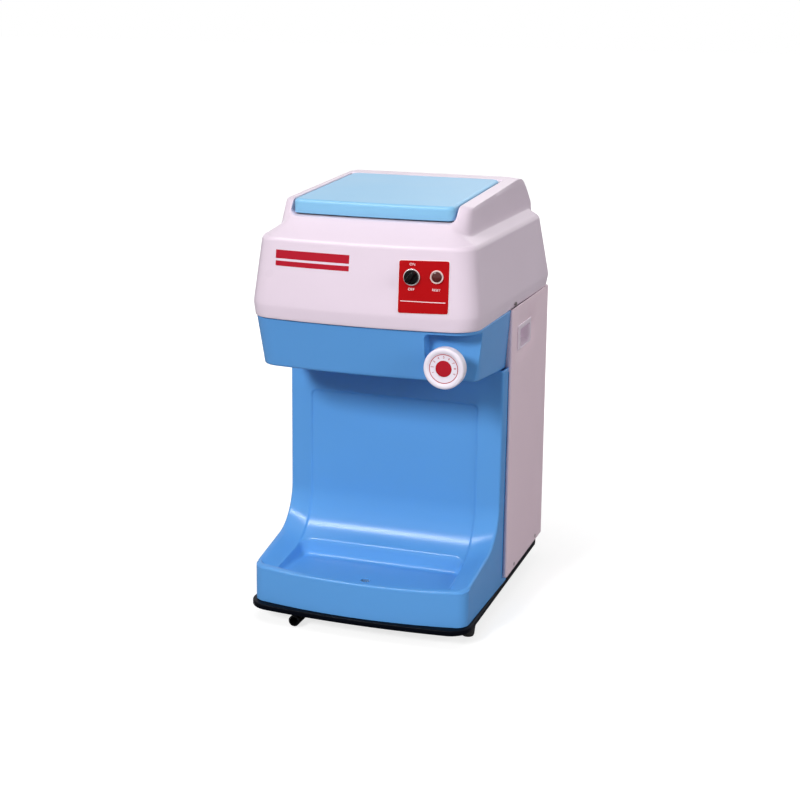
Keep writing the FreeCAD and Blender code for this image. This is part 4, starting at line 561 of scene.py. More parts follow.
def dress(piece: bpy.types.Object, finish: Finish, body: str, slot: str, *nodes: str) -> bpy.types.Object:
    """Gives a new piece its finish and the body it moves with, and hides the nodes it stands for.

    Args:
        piece: The new object.
        finish: Its finish.
        body: Name of the body that it rides on.
        slot: The record's material slot; not used.
        nodes: Solids that it replaces.
    Returns:
        The same object.
    """
    piece.data.materials.clear()
    piece.data.materials.append(finish.material())
    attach(piece, body)
    if nodes:
        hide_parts(*nodes)
    LOG.info("%s: %d faces on %s", piece.name, len(piece.data.polygons), body)
    return piece


# ------------------------------------------------------------------ base
@dataclass
class Base:
    """The black base: a shallow pan with a rounded rim."""

    front: float = -201.0
    rear: float = 197.0
    half: float = 152.8
    bow: float = 9.9
    corner: float = 30.0
    rear_corner: float = 16.0
    low: float = 20.0
    top: float = 27.5
    rim: float = 12.0
    floor: float = 22.5
    curb_half: float = 152.6
    curb_front: float = 11.0
    curb_rear: float = 184.5
    curb_top: float = 38.2
    wall: float = 3.0
    roll: float = 1.6
    turned_in: float = 15.0
    shrunk: float = 0.9

    def outline(self, inset: float) -> BowedOutline:
        """The base's outline, moved in by a distance."""
        return BowedOutline(self.front + inset, self.rear - inset, self.half - inset, self.half - inset,
                            self.bow, self.corner - inset, self.rear_corner - inset)

    def build(self) -> None:
        """Rings of the outline along the section: under the floor, up the rounded edge, into the pan."""
        section = [(24.0, self.low), (3.0, self.low)]
        r = self.roll
        section += [(r + x, z) for x, z in rounded_corner(0.0, self.low + r, r, 270, 180)]
        section += [(r + x, z) for x, z in rounded_corner(0.0, self.top - r, r, 180, 90)]
        section += [(self.rim, self.top), (self.rim, self.floor), (24.0, self.floor)]
        rings = []
        for inset, z in section:
            ring = self.outline(min(inset, self.turned_in)).ring()
            if inset > self.turned_in:
                ring = ring * self.shrunk
            rings.append(at_height(ring, z))
        centre = np.tile([0.0, (self.front + self.rear) / 2.0], (len(rings[0]), 1))
        ends = [at_height(centre, z) for z in (self.low, self.floor)]
        shell = Shell("base_pan_finished")
        shell.grid(np.stack([ends[0]] + rings + [ends[1]]), wrap=True)
        for x0, x1, y0, y1 in ((-self.curb_half, self.wall - self.curb_half, self.curb_front, self.curb_rear),
                               (self.curb_half - self.wall, self.curb_half, self.curb_front, self.curb_rear),
                               (-self.curb_half, self.curb_half, self.curb_rear - self.wall, self.curb_rear),
                               (-self.curb_half, self.curb_half, self.curb_front, self.curb_front + self.wall)):
            shell.block((x0, y0, self.floor), (x1, y1, self.curb_top))
        dress(shell.make(), BASE_BLACK, "chassis", "base_black", "base_pan")


# ------------------------------------------------------------------ tray and column
@dataclass
class TrayAndColumn:
    """The blue front moulding: drip tray, its bowl, and the column behind the bay."""

    front: float = -195.0
    half_front: float = 148.0
    half_rear: float = 152.6
    bow: float = 16.7
    corner: float = 18.0
    base_top: float = 27.8
    rim: float = 75.5
    land: float = 8.0
    rim_slope: float = math.tan(math.radians(9.3))
    sweep: float = 60.0
    dish_drop: float = 9.0
    dish_slope: float = math.tan(math.radians(7.8))
    bowl_inset: float = 9.5
    bowl_length: float = 106.0
    bowl_half_front: float = 123.0
    bowl_half_rear: float = 117.0
    bowl_corner: float = 14.0
    bowl_floor: float = 63.0
    bowl_bow: float = 11.69
    bowl_lip: float = 2.0
    bowl_fillet: float = 7.0
    bowl_wall_slope: float = 4.5
    face: float = -42.0
    edge: float = -35.5
    rear: float = 9.0
    foot_radius: float = 74.0
    face_half: float = 120.5
    bevel_half: float = 150.0
    crease: float = 290.5
    crease_run: float = 26.0
    sink: float = 2.0
    panel_half: float = 118.5
    panel_top: float = 288.5
    panel_corner: float = 7.0
    edge_radius: float = 3.0
    drain_y: float = -148.0
    drain_radius: float = 6.75
    drain_rows: int = 6
    drain_columns: int = 7
    drain_wall: float = 4.0
    underside: float = 348.5
    band_front: float = -173.0
    underside_slope: float = 14.0 / 161.0
    wall: float = 2.4
    foot_rows: int = 45

    def half_at(self, y: Array) -> Array:
        """Half width at a place: the side tapers evenly from the corner to the rear."""
        start = self.front + self.bow
        share = np.clip((y - start) / (self.rear - start), 0.0, 1.0)
        return self.half_front + (self.half_rear - self.half_front) * share

    def rim_height(self, y: Array) -> Array:
        """Height of the side rim: level land, then an even climb."""
        return self.rim + np.maximum(0.0, y - self.front - self.land) * self.rim_slope

    def dish_height(self, y: Array) -> Array:
        """Height of the tray's sloping inside."""
        return self.rim - self.dish_drop + (y - self.front - self.land) * self.dish_slope

    def bowl_height(self, x: Array, y: Array) -> Array:
        """Height of the bowl's wall and floor, from the distance d inside its outline.

        A steep wall outside its lip, a quarter round further in, then the floor; far outside, out of reach.
        """
        front = self.front + self.bowl_inset
        share = np.clip((y - front) / self.bowl_length, 0.0, 1.0)
        d_front = inside_bow(x, y, front, self.bowl_half_front, self.bowl_bow)
        d_side = self.bowl_half_front + (self.bowl_half_rear - self.bowl_half_front) * share - np.abs(x)
        d = np.minimum(corner_distance(d_front, d_side, self.bowl_corner),
                       corner_distance(front + self.bowl_length - y, d_side, self.bowl_corner))
        near = np.clip(self.bowl_lip + self.bowl_fillet - d, 0.0, self.bowl_fillet)
        height = self.bowl_floor + self.bowl_fillet - np.sqrt(self.bowl_fillet ** 2 - near * near)
        height = height + np.maximum(0.0, self.bowl_lip - d) * self.bowl_wall_slope
        return np.where(d < -8.0, 1000.0, height)

    def column_rows(self, start: float) -> Array:
        """Heights of the rows up the column, close together at the panel's top edge."""
        top = self.underside
        return np.unique(np.concatenate([
            np.linspace(start, 270.0, 14)[1:], np.linspace(270.0, 282.0, 5), np.linspace(282.0, 293.0, 19),
            np.linspace(293.0, 308.0, 6), np.linspace(308.0, 318.0, 6), np.linspace(318.0, top - 16.0, 3),
            np.array([top])]))

    def columns(self) -> Array:
        """Shares of the half width, even over the middle and close along the corner's arc."""
        inner = self.half_front - self.corner
        arc = inner + self.corner * np.sin(np.radians(np.linspace(0.0, 90.0, 15)))
        xs = np.concatenate([np.linspace(0.0, 8.4, 8), np.linspace(8.4, 112.0, 60)[1:],
                             np.linspace(112.0, 124.0, 15)[1:], np.linspace(124.0, inner, 5)[1:], arc[1:]])
        half = xs / self.half_front
        return np.concatenate([-half[:0:-1], half])

    def middle_profile(self, y_tray: Array, q: Array, join: float, top: float) -> tuple[Array, Array, Array]:
        """The middle's section: over the sloping tray, round the large foot arc and up to a height.

        Args:
            y_tray: Places along the tray.
            q: Shares of the way from the join to the height.
            join: Where the side's own arc starts.
            top: The height reached at the end.
        Returns:
            Heights over the tray, then the places and heights along q.
        """
        radius = self.foot_radius
        centre_y = self.face - radius
        lean = math.atan(self.dish_slope)
        start = centre_y + radius * math.sin(lean)
        centre_z = float(self.dish_height(np.array(start))) + radius * math.cos(lean)
        on_foot = np.clip(y_tray - centre_y, 0.0, radius)
        z_tray = np.where(y_tray > start, centre_z - np.sqrt(radius ** 2 - on_foot ** 2),
                          self.dish_height(y_tray))
        first_turn = math.asin((join - centre_y) / radius)
        arc_length = radius * (math.pi / 2 - first_turn)
        length = q * (arc_length + top - centre_z)
        turn = first_turn + np.clip(length / radius, 0.0, math.pi / 2 - first_turn)
        return (z_tray, centre_y + radius * np.sin(turn),
                centre_z - radius * np.cos(turn) + np.maximum(0.0, length - arc_length))

    def skin(self) -> Array:
        """The whole upper skin.

        Along v both a middle profile M and a side profile S run from the front rim over the tray,
        round the foot and up the column; across, a point is M + (S - M) s with s a soft ramp of |x|.
        """
        u = self.columns()[None, :]
        ones = np.ones_like(u)
        outline = BowedOutline(self.front, self.rear, self.half_front, self.half_rear, self.bow,
                               self.corner, 0.01, corner_count=40)
        edge_points = outline.half(closed=False)[0]
        end = int(np.argmax(edge_points[:, 0] >= self.half_front - 0.02)) + 1
        front_line = np.interp(np.abs(u) * self.half_front, edge_points[:end, 0], edge_points[:end, 1])
        angle = math.atan(self.rim_slope)
        join = self.edge - self.sweep + self.sweep * math.sin(angle)
        centre_z = float(self.rim_height(np.array(join))) + self.sweep * math.cos(angle)
        t = np.concatenate([[0.0, 0.002, 0.008, 0.017, 0.029], np.linspace(0.042, 1.0, 74)])[:, None]
        self.first_foot_row = len(t)
        y_tray = front_line + t * (join - front_line)
        q = np.linspace(0.0, 1.0, self.foot_rows + 1)[1:, None]
        turn = angle + (math.pi / 2 - angle) * q
        z_tray, mid_y, mid_z = self.middle_profile(y_tray, q, join, centre_z)
        top = self.underside - (self.face - self.band_front) * self.underside_slope - 0.4
        rows = np.minimum(self.column_rows(centre_z)[:, None], top)
        bevel = soft_ramp((rows - self.crease) / self.crease_run, 0.22) * (self.edge - self.face)
        m_y = np.vstack([y_tray, mid_y * ones, (self.face + bevel) * ones])
        m_z = np.vstack([z_tray, mid_z * ones, rows * ones])
        s_y = np.vstack([y_tray, (self.edge - self.sweep + self.sweep * np.sin(turn)) * ones,
                         np.full_like(rows, self.edge) * ones])
        s_z = np.vstack([self.rim_height(y_tray), (centre_z - self.sweep * np.cos(turn)) * ones, rows * ones])
        stage = np.vstack([np.zeros_like(t), q, np.ones_like(rows)])
        run = np.clip((s_y - self.front) / self.bowl_length, 0.0, 1.2)
        late = step_between(stage, 0.15, 0.9)
        low = self.bowl_half_front + (self.bowl_half_rear - self.bowl_half_front) * run + 1.0
        low = low * (1.0 - late) + self.face_half * late
        high = (self.half_front - 4.0) * (1.0 - late) + self.bevel_half * late
        x = u * self.half_at(s_y)
        share = soft_ramp((np.abs(x) - low) / (high - low), 0.16)
        y = m_y + (s_y - m_y) * share
        z = m_z + (s_z - m_z) * share
        in_tray = stage == 0.0
        # Front land and its inside wall.
        d_arc = inside_bow(x, y, self.front, self.half_front, self.bow)
        d_side = self.half_at(y) - np.abs(x)
        inside = corner_distance(d_arc - self.land, d_side - 4.0, self.corner - 5.0)
        rim = self.rim_height(y)
        z = np.where(in_tray, smooth_min(smooth_max(z, rim - 3.0 * inside, 3.0), rim, 1.6), z)
        # Sunk centre panel: pushed back and down along the middle profile's normal.
        depth = self.sink * step_between(y, self.front + 100.0, self.front + 118.0) * step_between(
            corner_distance(self.panel_half - np.abs(x), self.panel_top - z, self.panel_corner), -1.4, 1.4)
        n_y, n_z = profile_normal(m_y, m_z)
        y = y + depth * n_y
        z = z - depth * n_z
        z = smooth_min(z, self.bowl_height(x, y), 4.5)
        # Rounded outer edge, taken off along the side profile's normal.
        drop = rolled(np.where(in_tray, corner_distance(d_arc, d_side, self.corner), d_side), self.edge_radius)
        n_y, n_z = profile_normal(s_y, s_z)
        y = y + drop * np.where(in_tray, 0.0, n_y)
        z = z - drop * np.where(in_tray, 1.0, n_z)
        return np.stack([x, y, z], -1)

    def side_wall(self, skin: Array, column: int) -> Array:
        """The flat wall from the skin's side edge down to the base and back to the rear edge."""
        border = skin[:, column]
        count = len(border)
        foot = self.first_foot_row
        target = border.copy()
        target[:, 2] = self.base_top
        share = np.clip((np.arange(count) - foot + 1) / float(self.foot_rows), 0.0, 1.0)
        start_y = border[foot - 1, 1]
        target[foot - 1:, 1] = start_y + (self.rear - start_y) * share[foot - 1:]
        last = foot + self.foot_rows - 1
        span = border[last:, 2] - border[last, 2]
        target[last:, 2] = self.base_top + span / span[-1] * (border[-1, 2] - self.base_top)
        sign = np.sign(border[0, 0])
        rows = [border]
        for step in (0.004, 0.5, 0.99, 1.0):
            ring = border + (target - border) * step
            ring[:, 0] = sign * self.half_at(ring[:, 1])
            rows.append(ring)
        return np.stack(rows)

    def build(self) -> None:
        """Joins the skin, the front wall and both side walls, and dresses them."""
        skin = self.skin()
        middle = skin.shape[1] // 2
        row = int(np.argmin(np.abs(skin[:self.first_foot_row, middle, 1] - self.drain_y)))
        keep, patch = punch(skin, (row - self.drain_rows, row + self.drain_rows),
                            (middle - self.drain_columns, middle + self.drain_columns), (0.0, self.drain_y),
                            self.drain_radius, lambda p: np.full(len(p), self.bowl_floor), self.drain_wall)
        shell = Shell("front_body_finished")
        shell.grid(skin, keep=keep)
        shell.grid(patch, wrap=True)
        front = skin[0]
        low = at_height(front[:, :2], self.base_top)
        shell.grid(np.stack([low + (front - low) * share for share in (0.0, 0.01, 0.5, 0.985, 1.0)]))
        for column in (0, -1):
            shell.grid(self.side_wall(skin, column))
        piece = shell.make(thickness=self.wall, facing=(0.0, -0.7, 0.7), sharp=38.0)
        dress(piece, BODY_BLUE, "chassis", "body_blue", "front_body")


# ------------------------------------------------------------------ head band
@dataclass
class HeadBand:
    """The blue band round the head, with the sunk place for the dial and the underside."""

    low: float = 348.5
    top: float = 414.7
    full: float = 66.5
    half_low: float = 145.4
    flare: float = 4.8
    front_low: float = -173.0
    lean: float = 16.3
    bow: float = 14.5
    corner: float = 32.0
    rear: float = -13.0
    slope: float = 14.0 / 161.0
    pocket_left: float = 86.7
    pocket_top: float = 409.5
    pocket_start: float = -163.82
    pocket_turn: float = math.tan(math.radians(17.5))
    pocket_corner: float = 5.0
    edge_radius: float = 3.2
    mouth_half: float = 27.0
    mouth_front: float = -118.0
    mouth_rear: float = -66.0
    even_above: float = 385.0
    wall: float = 2.4

    def run(self, share: float, front_x: tuple[float, ...]) -> tuple[Array, Array]:
        """The band's outline at a share of its height."""
        half = self.half_low + self.flare * share
        outline = BowedOutline(self.front_low - self.lean * share, self.rear, half, half + 3.0, self.bow,
                               self.corner + 3.0 * share, 0.01, front_x=front_x, corner_count=46, side_count=16)
        return outline.open_run()

    def underside_height(self, y: Array) -> Array:
        """Height of the underside, which falls evenly towards the rear."""
        return self.low - (y - self.front_low) * self.slope

    def wall_grid(self) -> Array:
        """Rows of the outline from the rounded lower edge to the top, pushed back to the dial's pocket."""
        xs = tuple(join_spans(np.linspace(0.0, 80.0, 20), np.linspace(80.0, 84.0, 4),
                              np.linspace(84.0, 93.0, 23), np.linspace(93.0, 118.0, 10)))
        lower, normals = self.run(0.0, xs)
        upper = self.run(1.0, xs)[0]
        edge = self.underside_height(lower[:, 1])
        rows = [(edge + self.edge_radius * (1.0 - math.sin(angle)), self.edge_radius * (1.0 - math.cos(angle)))
                for angle in np.radians(np.linspace(90.0, 0.0, 7))]
        start = edge + self.edge_radius
        rows += [(start + (self.even_above - start) * share, 0.0) for share in np.linspace(0.08, 1.0, 6)]
        rows += [(np.full(len(edge), height), 0.0) for height in np.concatenate([
            np.linspace(self.even_above, 402.0, 6)[1:], np.linspace(402.0, 411.5, 22)[1:], [412.5, self.top]])]
        grid = []
        for z, inset in rows:
            share = ((z - self.low) / self.full)[:, None]
            flat = lower + (upper - lower) * share - normals * inset
            back = self.pocket_start + (flat[:, 0] - self.pocket_left) * self.pocket_turn + inset
            mask = step_between(corner_distance(flat[:, 0] - self.pocket_left, self.pocket_top - z,
                                                self.pocket_corner), -0.9, 0.9)
            pushed = smooth_max(flat[:, 1], back, 1.6)
            grid.append(np.column_stack([flat[:, 0], flat[:, 1] + (pushed - flat[:, 1]) * mask, z]))
        return np.stack(grid)

    def underside_rings(self, border: Array) -> Array:
        """Rings that shrink from the lower edge to the chute's square mouth, which has a short wall."""
        line = np.linspace(border[-1, :2], border[0, :2], 32)[1:-1]
        loop = np.vstack([border, at_height(line, self.underside_height(line[:, 1]))])
        middle = np.array([0.0, (self.mouth_front + self.mouth_rear) / 2.0])
        offset = loop[:, :2] - middle
        reach = np.minimum(self.mouth_half / np.maximum(np.abs(offset[:, 0]), 1e-6),
                           (self.mouth_rear - middle[1]) / np.maximum(np.abs(offset[:, 1]), 1e-6))
        hole = middle + offset * reach[:, None]
        rings = [loop]
        for share, lift in ((0.06, 0.0), (0.5, 0.0), (1.0, 0.0), (1.0, 3.0)):
            flat = loop[:, :2] + (hole - loop[:, :2]) * share
            rings.append(at_height(flat, self.underside_height(flat[:, 1]) + lift))
        return np.stack(rings)

    def build(self) -> None:
        """Joins the wall and the underside, and dresses them."""
        grid = self.wall_grid()
        shell = Shell("head_band_finished")
        shell.grid(grid)
        shell.grid(self.underside_rings(grid[0]), wrap=True)
        piece = shell.make(thickness=self.wall, facing=(0.0, -1.0, -0.4), sharp=40.0)
        dress(piece, BODY_BLUE, "chassis", "body_blue", "head_band")


# ------------------------------------------------------------------ hood
@dataclass
class Hood:
    """The white hood: walls, rounded shoulder, ledge, and the raised top that takes the lid."""

    lip: float = 415.0
    wide: float = 432.3
    shoulder: float = 516.8
    front: float = -195.0
    rear: float = 201.0
    half_front: float = 152.5
    taper: float = 5.0
    wall_run: float = 10.1
    tuck: float = 2.0
    setback: float = 10.8
    rear_setback: float = 9.0
    bow: float = 15.2
    corner: float = 36.0
    rear_corner: float = 20.0
    radius: float = 9.0
    ledge_run: float = 16.1
    ledge_rise: float = 10.1
    ledge_limit: float = 38.0
    rail_front: float = -148.0
    rail_foot: float = 538.0
    rail_lean: float = 1.043
    rail_corner: float = 18.0
    rail_flare: float = 0.75
    block_foot: float = 527.0
    block_foot_half: float = 127.5
    block_lean: float = 0.07
    crest: float = 123.8
    crown_drop: float = 0.8
    crown_fall: float = 0.24
    crown_half: float = 111.3
    rear_run: float = 67.0
    floor_fillet: float = 8.0
    hole_front: float = -123.0
    hole_rear: float = 69.0
    pocket_half: float = 109.8
    pocket_drop: float = 20.0
    pocket_rear: float = 90.66
    lid_front: float = -139.5
    lid_top: float = 562.3
    lid_slope: float = math.tan(math.radians(3.14))
    shaft_y: float = -27.0
    hole_radius: float = 90.0
    hole_half: float = 96.0
    straight_front: float = -133.0
    straight_rear: float = 165.0
    bow_fall: float = 3.9
    search_low: float = 480.0
    search_high: float = 640.0
    halvings: int = 26
    wall: float = 2.0
    floor_wall: float = 6.0

    def outline(self, back: float) -> BowedOutline:
        """The hood's outline where its wall has leant in by a distance."""
        share = back / self.wall_run
        return BowedOutline(
            self.front + self.setback * share, self.rear - self.rear_setback * min(share, 1.6),
            self.half_front - back, self.half_front + self.taper * (1.0 - min(share, 1.0)) - back,
            self.bow - self.bow_fall * min(share, 1.4), self.corner - 3.0 * min(share, 1.6), self.rear_corner,
            corner_count=20, rear_corner_count=12)

    def levels(self) -> list[tuple[float, float]]:
        """(height, how far in) from inside the lip, over its edge, up the wall and round the shoulder."""
        wall_angle = math.atan2(self.shoulder - self.wide, self.wall_run)
        ledge_angle = math.atan2(self.ledge_rise, self.ledge_run)
        back = self.radius * math.tan((wall_angle - ledge_angle) / 2.0)
        centre_in = self.wall_run - back * math.cos(wall_angle) + self.radius * math.sin(wall_angle)
        centre_z = self.shoulder - back * math.sin(wall_angle) - self.radius * math.cos(wall_angle)
        lip, tuck = self.lip, self.tuck
        levels = [(lip + 8.0, tuck + 1.9), (lip + 1.2, tuck + 2.6), (lip + 0.2, tuck + 2.2), (lip, tuck + 1.6),
                  (lip + 0.05, tuck + 0.35), (lip + 0.4, tuck + 0.05)]
        levels += [(lip + dz, tuck * (1.0 - dz / (self.wide - lip))) for dz in (3.0, 8.0, 11.5)]
        levels += [(lip + 14.0, 0.42), (lip + 16.0, 0.24), (lip + 18.0, 0.26), (lip + 20.5, 0.48)]
        run = self.wall_run / (self.shoulder - self.wide)
        top = centre_z + self.radius * math.cos(wall_angle)
        levels += [(z, (z - self.wide) * run) for z in np.linspace(lip + 24.0, top - 1.0, 12)]
        levels += [(centre_z + self.radius * math.cos(angle), centre_in - self.radius * math.sin(angle))
                   for angle in np.linspace(wall_angle, ledge_angle, 11)]
        return levels

    def lid_height(self, y: Array) -> Array:
        """Height of the closed lid's top above a place."""
        return self.lid_top + (y - self.lid_front) * self.lid_slope

    def floor(self, y: Array) -> Array:
        """Height of the lid pocket's floor."""
        return self.lid_height(y) - self.pocket_drop

    def ledge(self, x: Array, y: Array, start: float, outline: BowedOutline) -> Array:
        """Height of the ledge: an even climb with the distance e inside the border ring, up to a limit.

        Args:
            x: Places across.
            y: Places along.
            start: Height of the border ring.
            outline: The border ring.
        Returns:
            Heights at the places.
        """
        d_front = inside_bow(x, y, outline.front, outline.half_front, outline.bow)
        d_side = outline.half_front - np.abs(x)
        e = np.minimum(corner_distance(d_front, d_side, outline.front_radius),
                       corner_distance(outline.rear - y, d_side, outline.rear_radius))
        e = smooth_min(np.maximum(e, 0.0), np.full_like(e, self.ledge_limit), 6.0)
        return start + e * self.ledge_rise / self.ledge_run

    def inside_block(self, x: Array, y: Array, z: Array) -> Array:
        """Distance inside the raised block's front and side walls at a height.

        The front leans back, the sides lean in, and their upright corner grows rounder downwards.
        """
        front = y - self.rail_front - (z - self.rail_foot) * self.rail_lean
        side = self.block_foot_half - (z - self.block_foot) * self.block_lean - np.abs(x)
        radius = self.rail_corner + np.maximum(0.0, 560.0 - z) * self.rail_flare
        return corner_distance(front, side, radius)

    def block_walls(self, x: Array, y: Array) -> Array:
        """Height at which a place leaves the block's walls, found by halving the range."""
        low = np.full_like(x, self.search_low)
        high = np.full_like(x, self.search_high)
        for _ in range(self.halvings):
            middle = (low + high) / 2.0
            within = self.inside_block(x, y, middle) > 0.0
            low = np.where(within, middle, low)
            high = np.where(within, high, middle)
        return low

    def top_height(self, x: Array, y: Array, start: float, outline: BowedOutline) -> Array:
        """Height of the hood's top: soft union of the ledge and the raised block, less the lid pocket.

        Args:
            x: Places across.
            y: Places along.
            start: Height of the border ring.
            outline: The border ring.
        Returns:
            Heights at the places.
        """
        ax = np.abs(x)
        ledge = self.ledge(x, y, start, outline)
        roof = self.lid_height(y) - self.crown_drop - np.maximum(0.0, ax - self.crown_half) * self.crown_fall
        crest_z = self.lid_height(self.crest) - self.crown_drop
        foot = self.shoulder + self.ledge_rise + 3.0
        fall = crest_z - foot
        rear = np.interp(y, self.crest + self.rear_run * np.array([-1.0, 0.0, 0.2, 0.4, 0.6, 0.8, 1.0, 1.3]),
                         [crest_z + 60.0, crest_z, crest_z - fall * 0.06, crest_z - fall * 0.20,
                          crest_z - fall * 0.42, crest_z - fall * 0.70, foot, foot - 44.0])
        walls = self.block_walls(x, y)
        block = smooth_min(walls, smooth_min(roof, rear, 9.0), 5.0)
        height = smooth_max(ledge, block, np.where(y < self.rail_front + 20.0, 7.0, 3.5))
        beside = ax - self.pocket_half
        behind = y - self.pocket_rear
        outside = np.maximum(beside, behind)
        floor = self.floor(y) + rolled(-outside, self.floor_fillet)
        edge = rolled(np.maximum(outside, 0.0), 2.2) * np.clip((height - self.floor(y)) / 10.0, 0.0, 1.0)
        return np.where(outside < 0.0, smooth_min(height, floor, 2.0), height - edge)

    def plan(self, outline: BowedOutline) -> tuple[Array, Array]:
        """The plan grid inside the border ring: curved rows at both ends, straight rows between."""
        half = outline.half_front
        corner_turn = np.radians([62.0, 67.0, 72.0, 77.0, 81.0, 85.0, 88.0, 90.0])
        xs = join_spans(
            np.linspace(0.0, self.hole_half, 33), np.linspace(self.hole_half, 108.0, 13)[1:],
            [108.7, 109.2, 109.5, 109.72, 109.88, 110.1, 110.5, 111.0, 111.6, 112.4],
            np.linspace(113.4, 119.4, 6), np.linspace(120.2, 129.5, 20), [130.5, 131.5],
            half - 0.94 * outline.front_radius * (1.0 - np.sin(corner_turn)), digits=4)
        points = outline.half()[0]
        end = int(np.argmax(points[:, 0] >= half - 0.001)) + 1
        front_line = np.interp(xs, points[:end, 0], points[:end, 1])
        rear_start = outline.rear - outline.rear_radius
        tail = points[points[:, 1] >= rear_start - 0.01]
        tail = tail[np.argsort(tail[:, 0])]
        rear_line = np.interp(xs, tail[:, 0], tail[:, 1])
        rear_line[-1] = rear_start
        first, last = self.straight_front, self.straight_rear
        straight = join_spans(
            np.linspace(first, self.hole_front, 8), np.linspace(self.hole_front, self.hole_rear, 60),
            np.linspace(self.hole_rear, 82.0, 7), np.linspace(82.0, 88.0, 7),
            self.pocket_rear + np.array([-1.6, -0.8, -0.3, -0.08, 0.08, 0.3, 0.8, 1.6, 2.4]),
            np.linspace(95.0, last, 40), digits=4)[:, None]
        y = np.vstack([front_line + (first - front_line) * np.linspace(0.0, 1.0, 41)[:-1, None],
                       straight * np.ones_like(xs),
                       last + (rear_line - last) * np.linspace(0.0, 1.0, 17)[1:, None]])
        x = np.ones_like(y) * xs
        return np.hstack([-x[:, :0:-1], x]), np.hstack([y[:, :0:-1], y])

    @staticmethod
    def border_of(grid: Array) -> Array:
        """The grid's border points once round."""
        return np.vstack([grid[0, :-1], grid[:-1, -1], grid[-1, :0:-1], grid[:0:-1, 0]])

    @staticmethod
    def resample(ring: Array, border: Array) -> tuple[Array, Array]:
        """Finds the segment and the share along it where a ring passes nearest to each border point.

        Args:
            ring: The ring's points.
            border: The points to look for.
        Returns:
            Segment indices and shares.
        """
        closed = np.vstack([ring, ring[:1]])
        a, b = closed[:-1, None, :2], closed[1:, None, :2]
        edge = b - a
        along = ((border[None, :, :2] - a) * edge).sum(-1)
        t = np.clip(along / np.maximum((edge ** 2).sum(-1), 1e-9), 0.0, 1.0)
        foot = a + edge * t[..., None]
        best = np.argmin(((border[None, :, :2] - foot) ** 2).sum(-1), axis=0)
        return best, t[best, np.arange(len(border))]

    def build(self) -> None:
        """Wall rings, the top as a height over its plan, and the hopper's hole.

        Every ring is taken at the places that face the plan grid's border, so that both share their points.
        """
        shell = Shell("hood_finished")
        levels = self.levels()
        start, back = levels[-1]
        outline = self.outline(back)
        x, y = self.plan(outline)
        last_ring = outline.ring()
        flat = np.stack([x, y], -1)
        index, share = self.resample(last_ring, self.border_of(flat))
        following = (index + 1) % len(last_ring)
        rings = []
        for z, inset in levels:
            ring = self.outline(inset).ring()
            place = ring[index] * (1.0 - share[:, None]) + ring[following] * share[:, None]
            rings.append(at_height(place, z))
        shell.grid(np.stack(rings), wrap=True)
        top = np.stack([x, y, self.top_height(x, y, start, outline)], -1)
        columns, rows = x.shape[1], x.shape[0]
        edge = rings[-1]
        top[0, :-1] = edge[:columns - 1]
        top[:-1, -1] = edge[columns - 1:columns + rows - 2]
        top[-1, :0:-1] = edge[columns + rows - 2:2 * columns + rows - 3]
        top[:0:-1, 0] = edge[2 * columns + rows - 3:]
        middle = columns // 2
        i0, i1 = (int(np.argmin(np.abs(y[:, middle] - end))) for end in (self.hole_front, self.hole_rear))
        j0, j1 = (int(np.argmin(np.abs(x[0] - end))) for end in (-self.hole_half, self.hole_half))
        keep, patch = punch(top, (i0, i1), (j0, j1), (0.0, self.shaft_y), self.hole_radius,
                            lambda p: self.floor(p[:, 1]), self.floor_wall)
        shell.grid(top, keep=keep)
        shell.grid(patch, wrap=True)
        piece = shell.make(thickness=self.wall, facing=(0.0, 0.0, 1.0), sharp=40.0)
        dress(piece, SHELL_WHITE, "chassis", "shell_white", "hood")


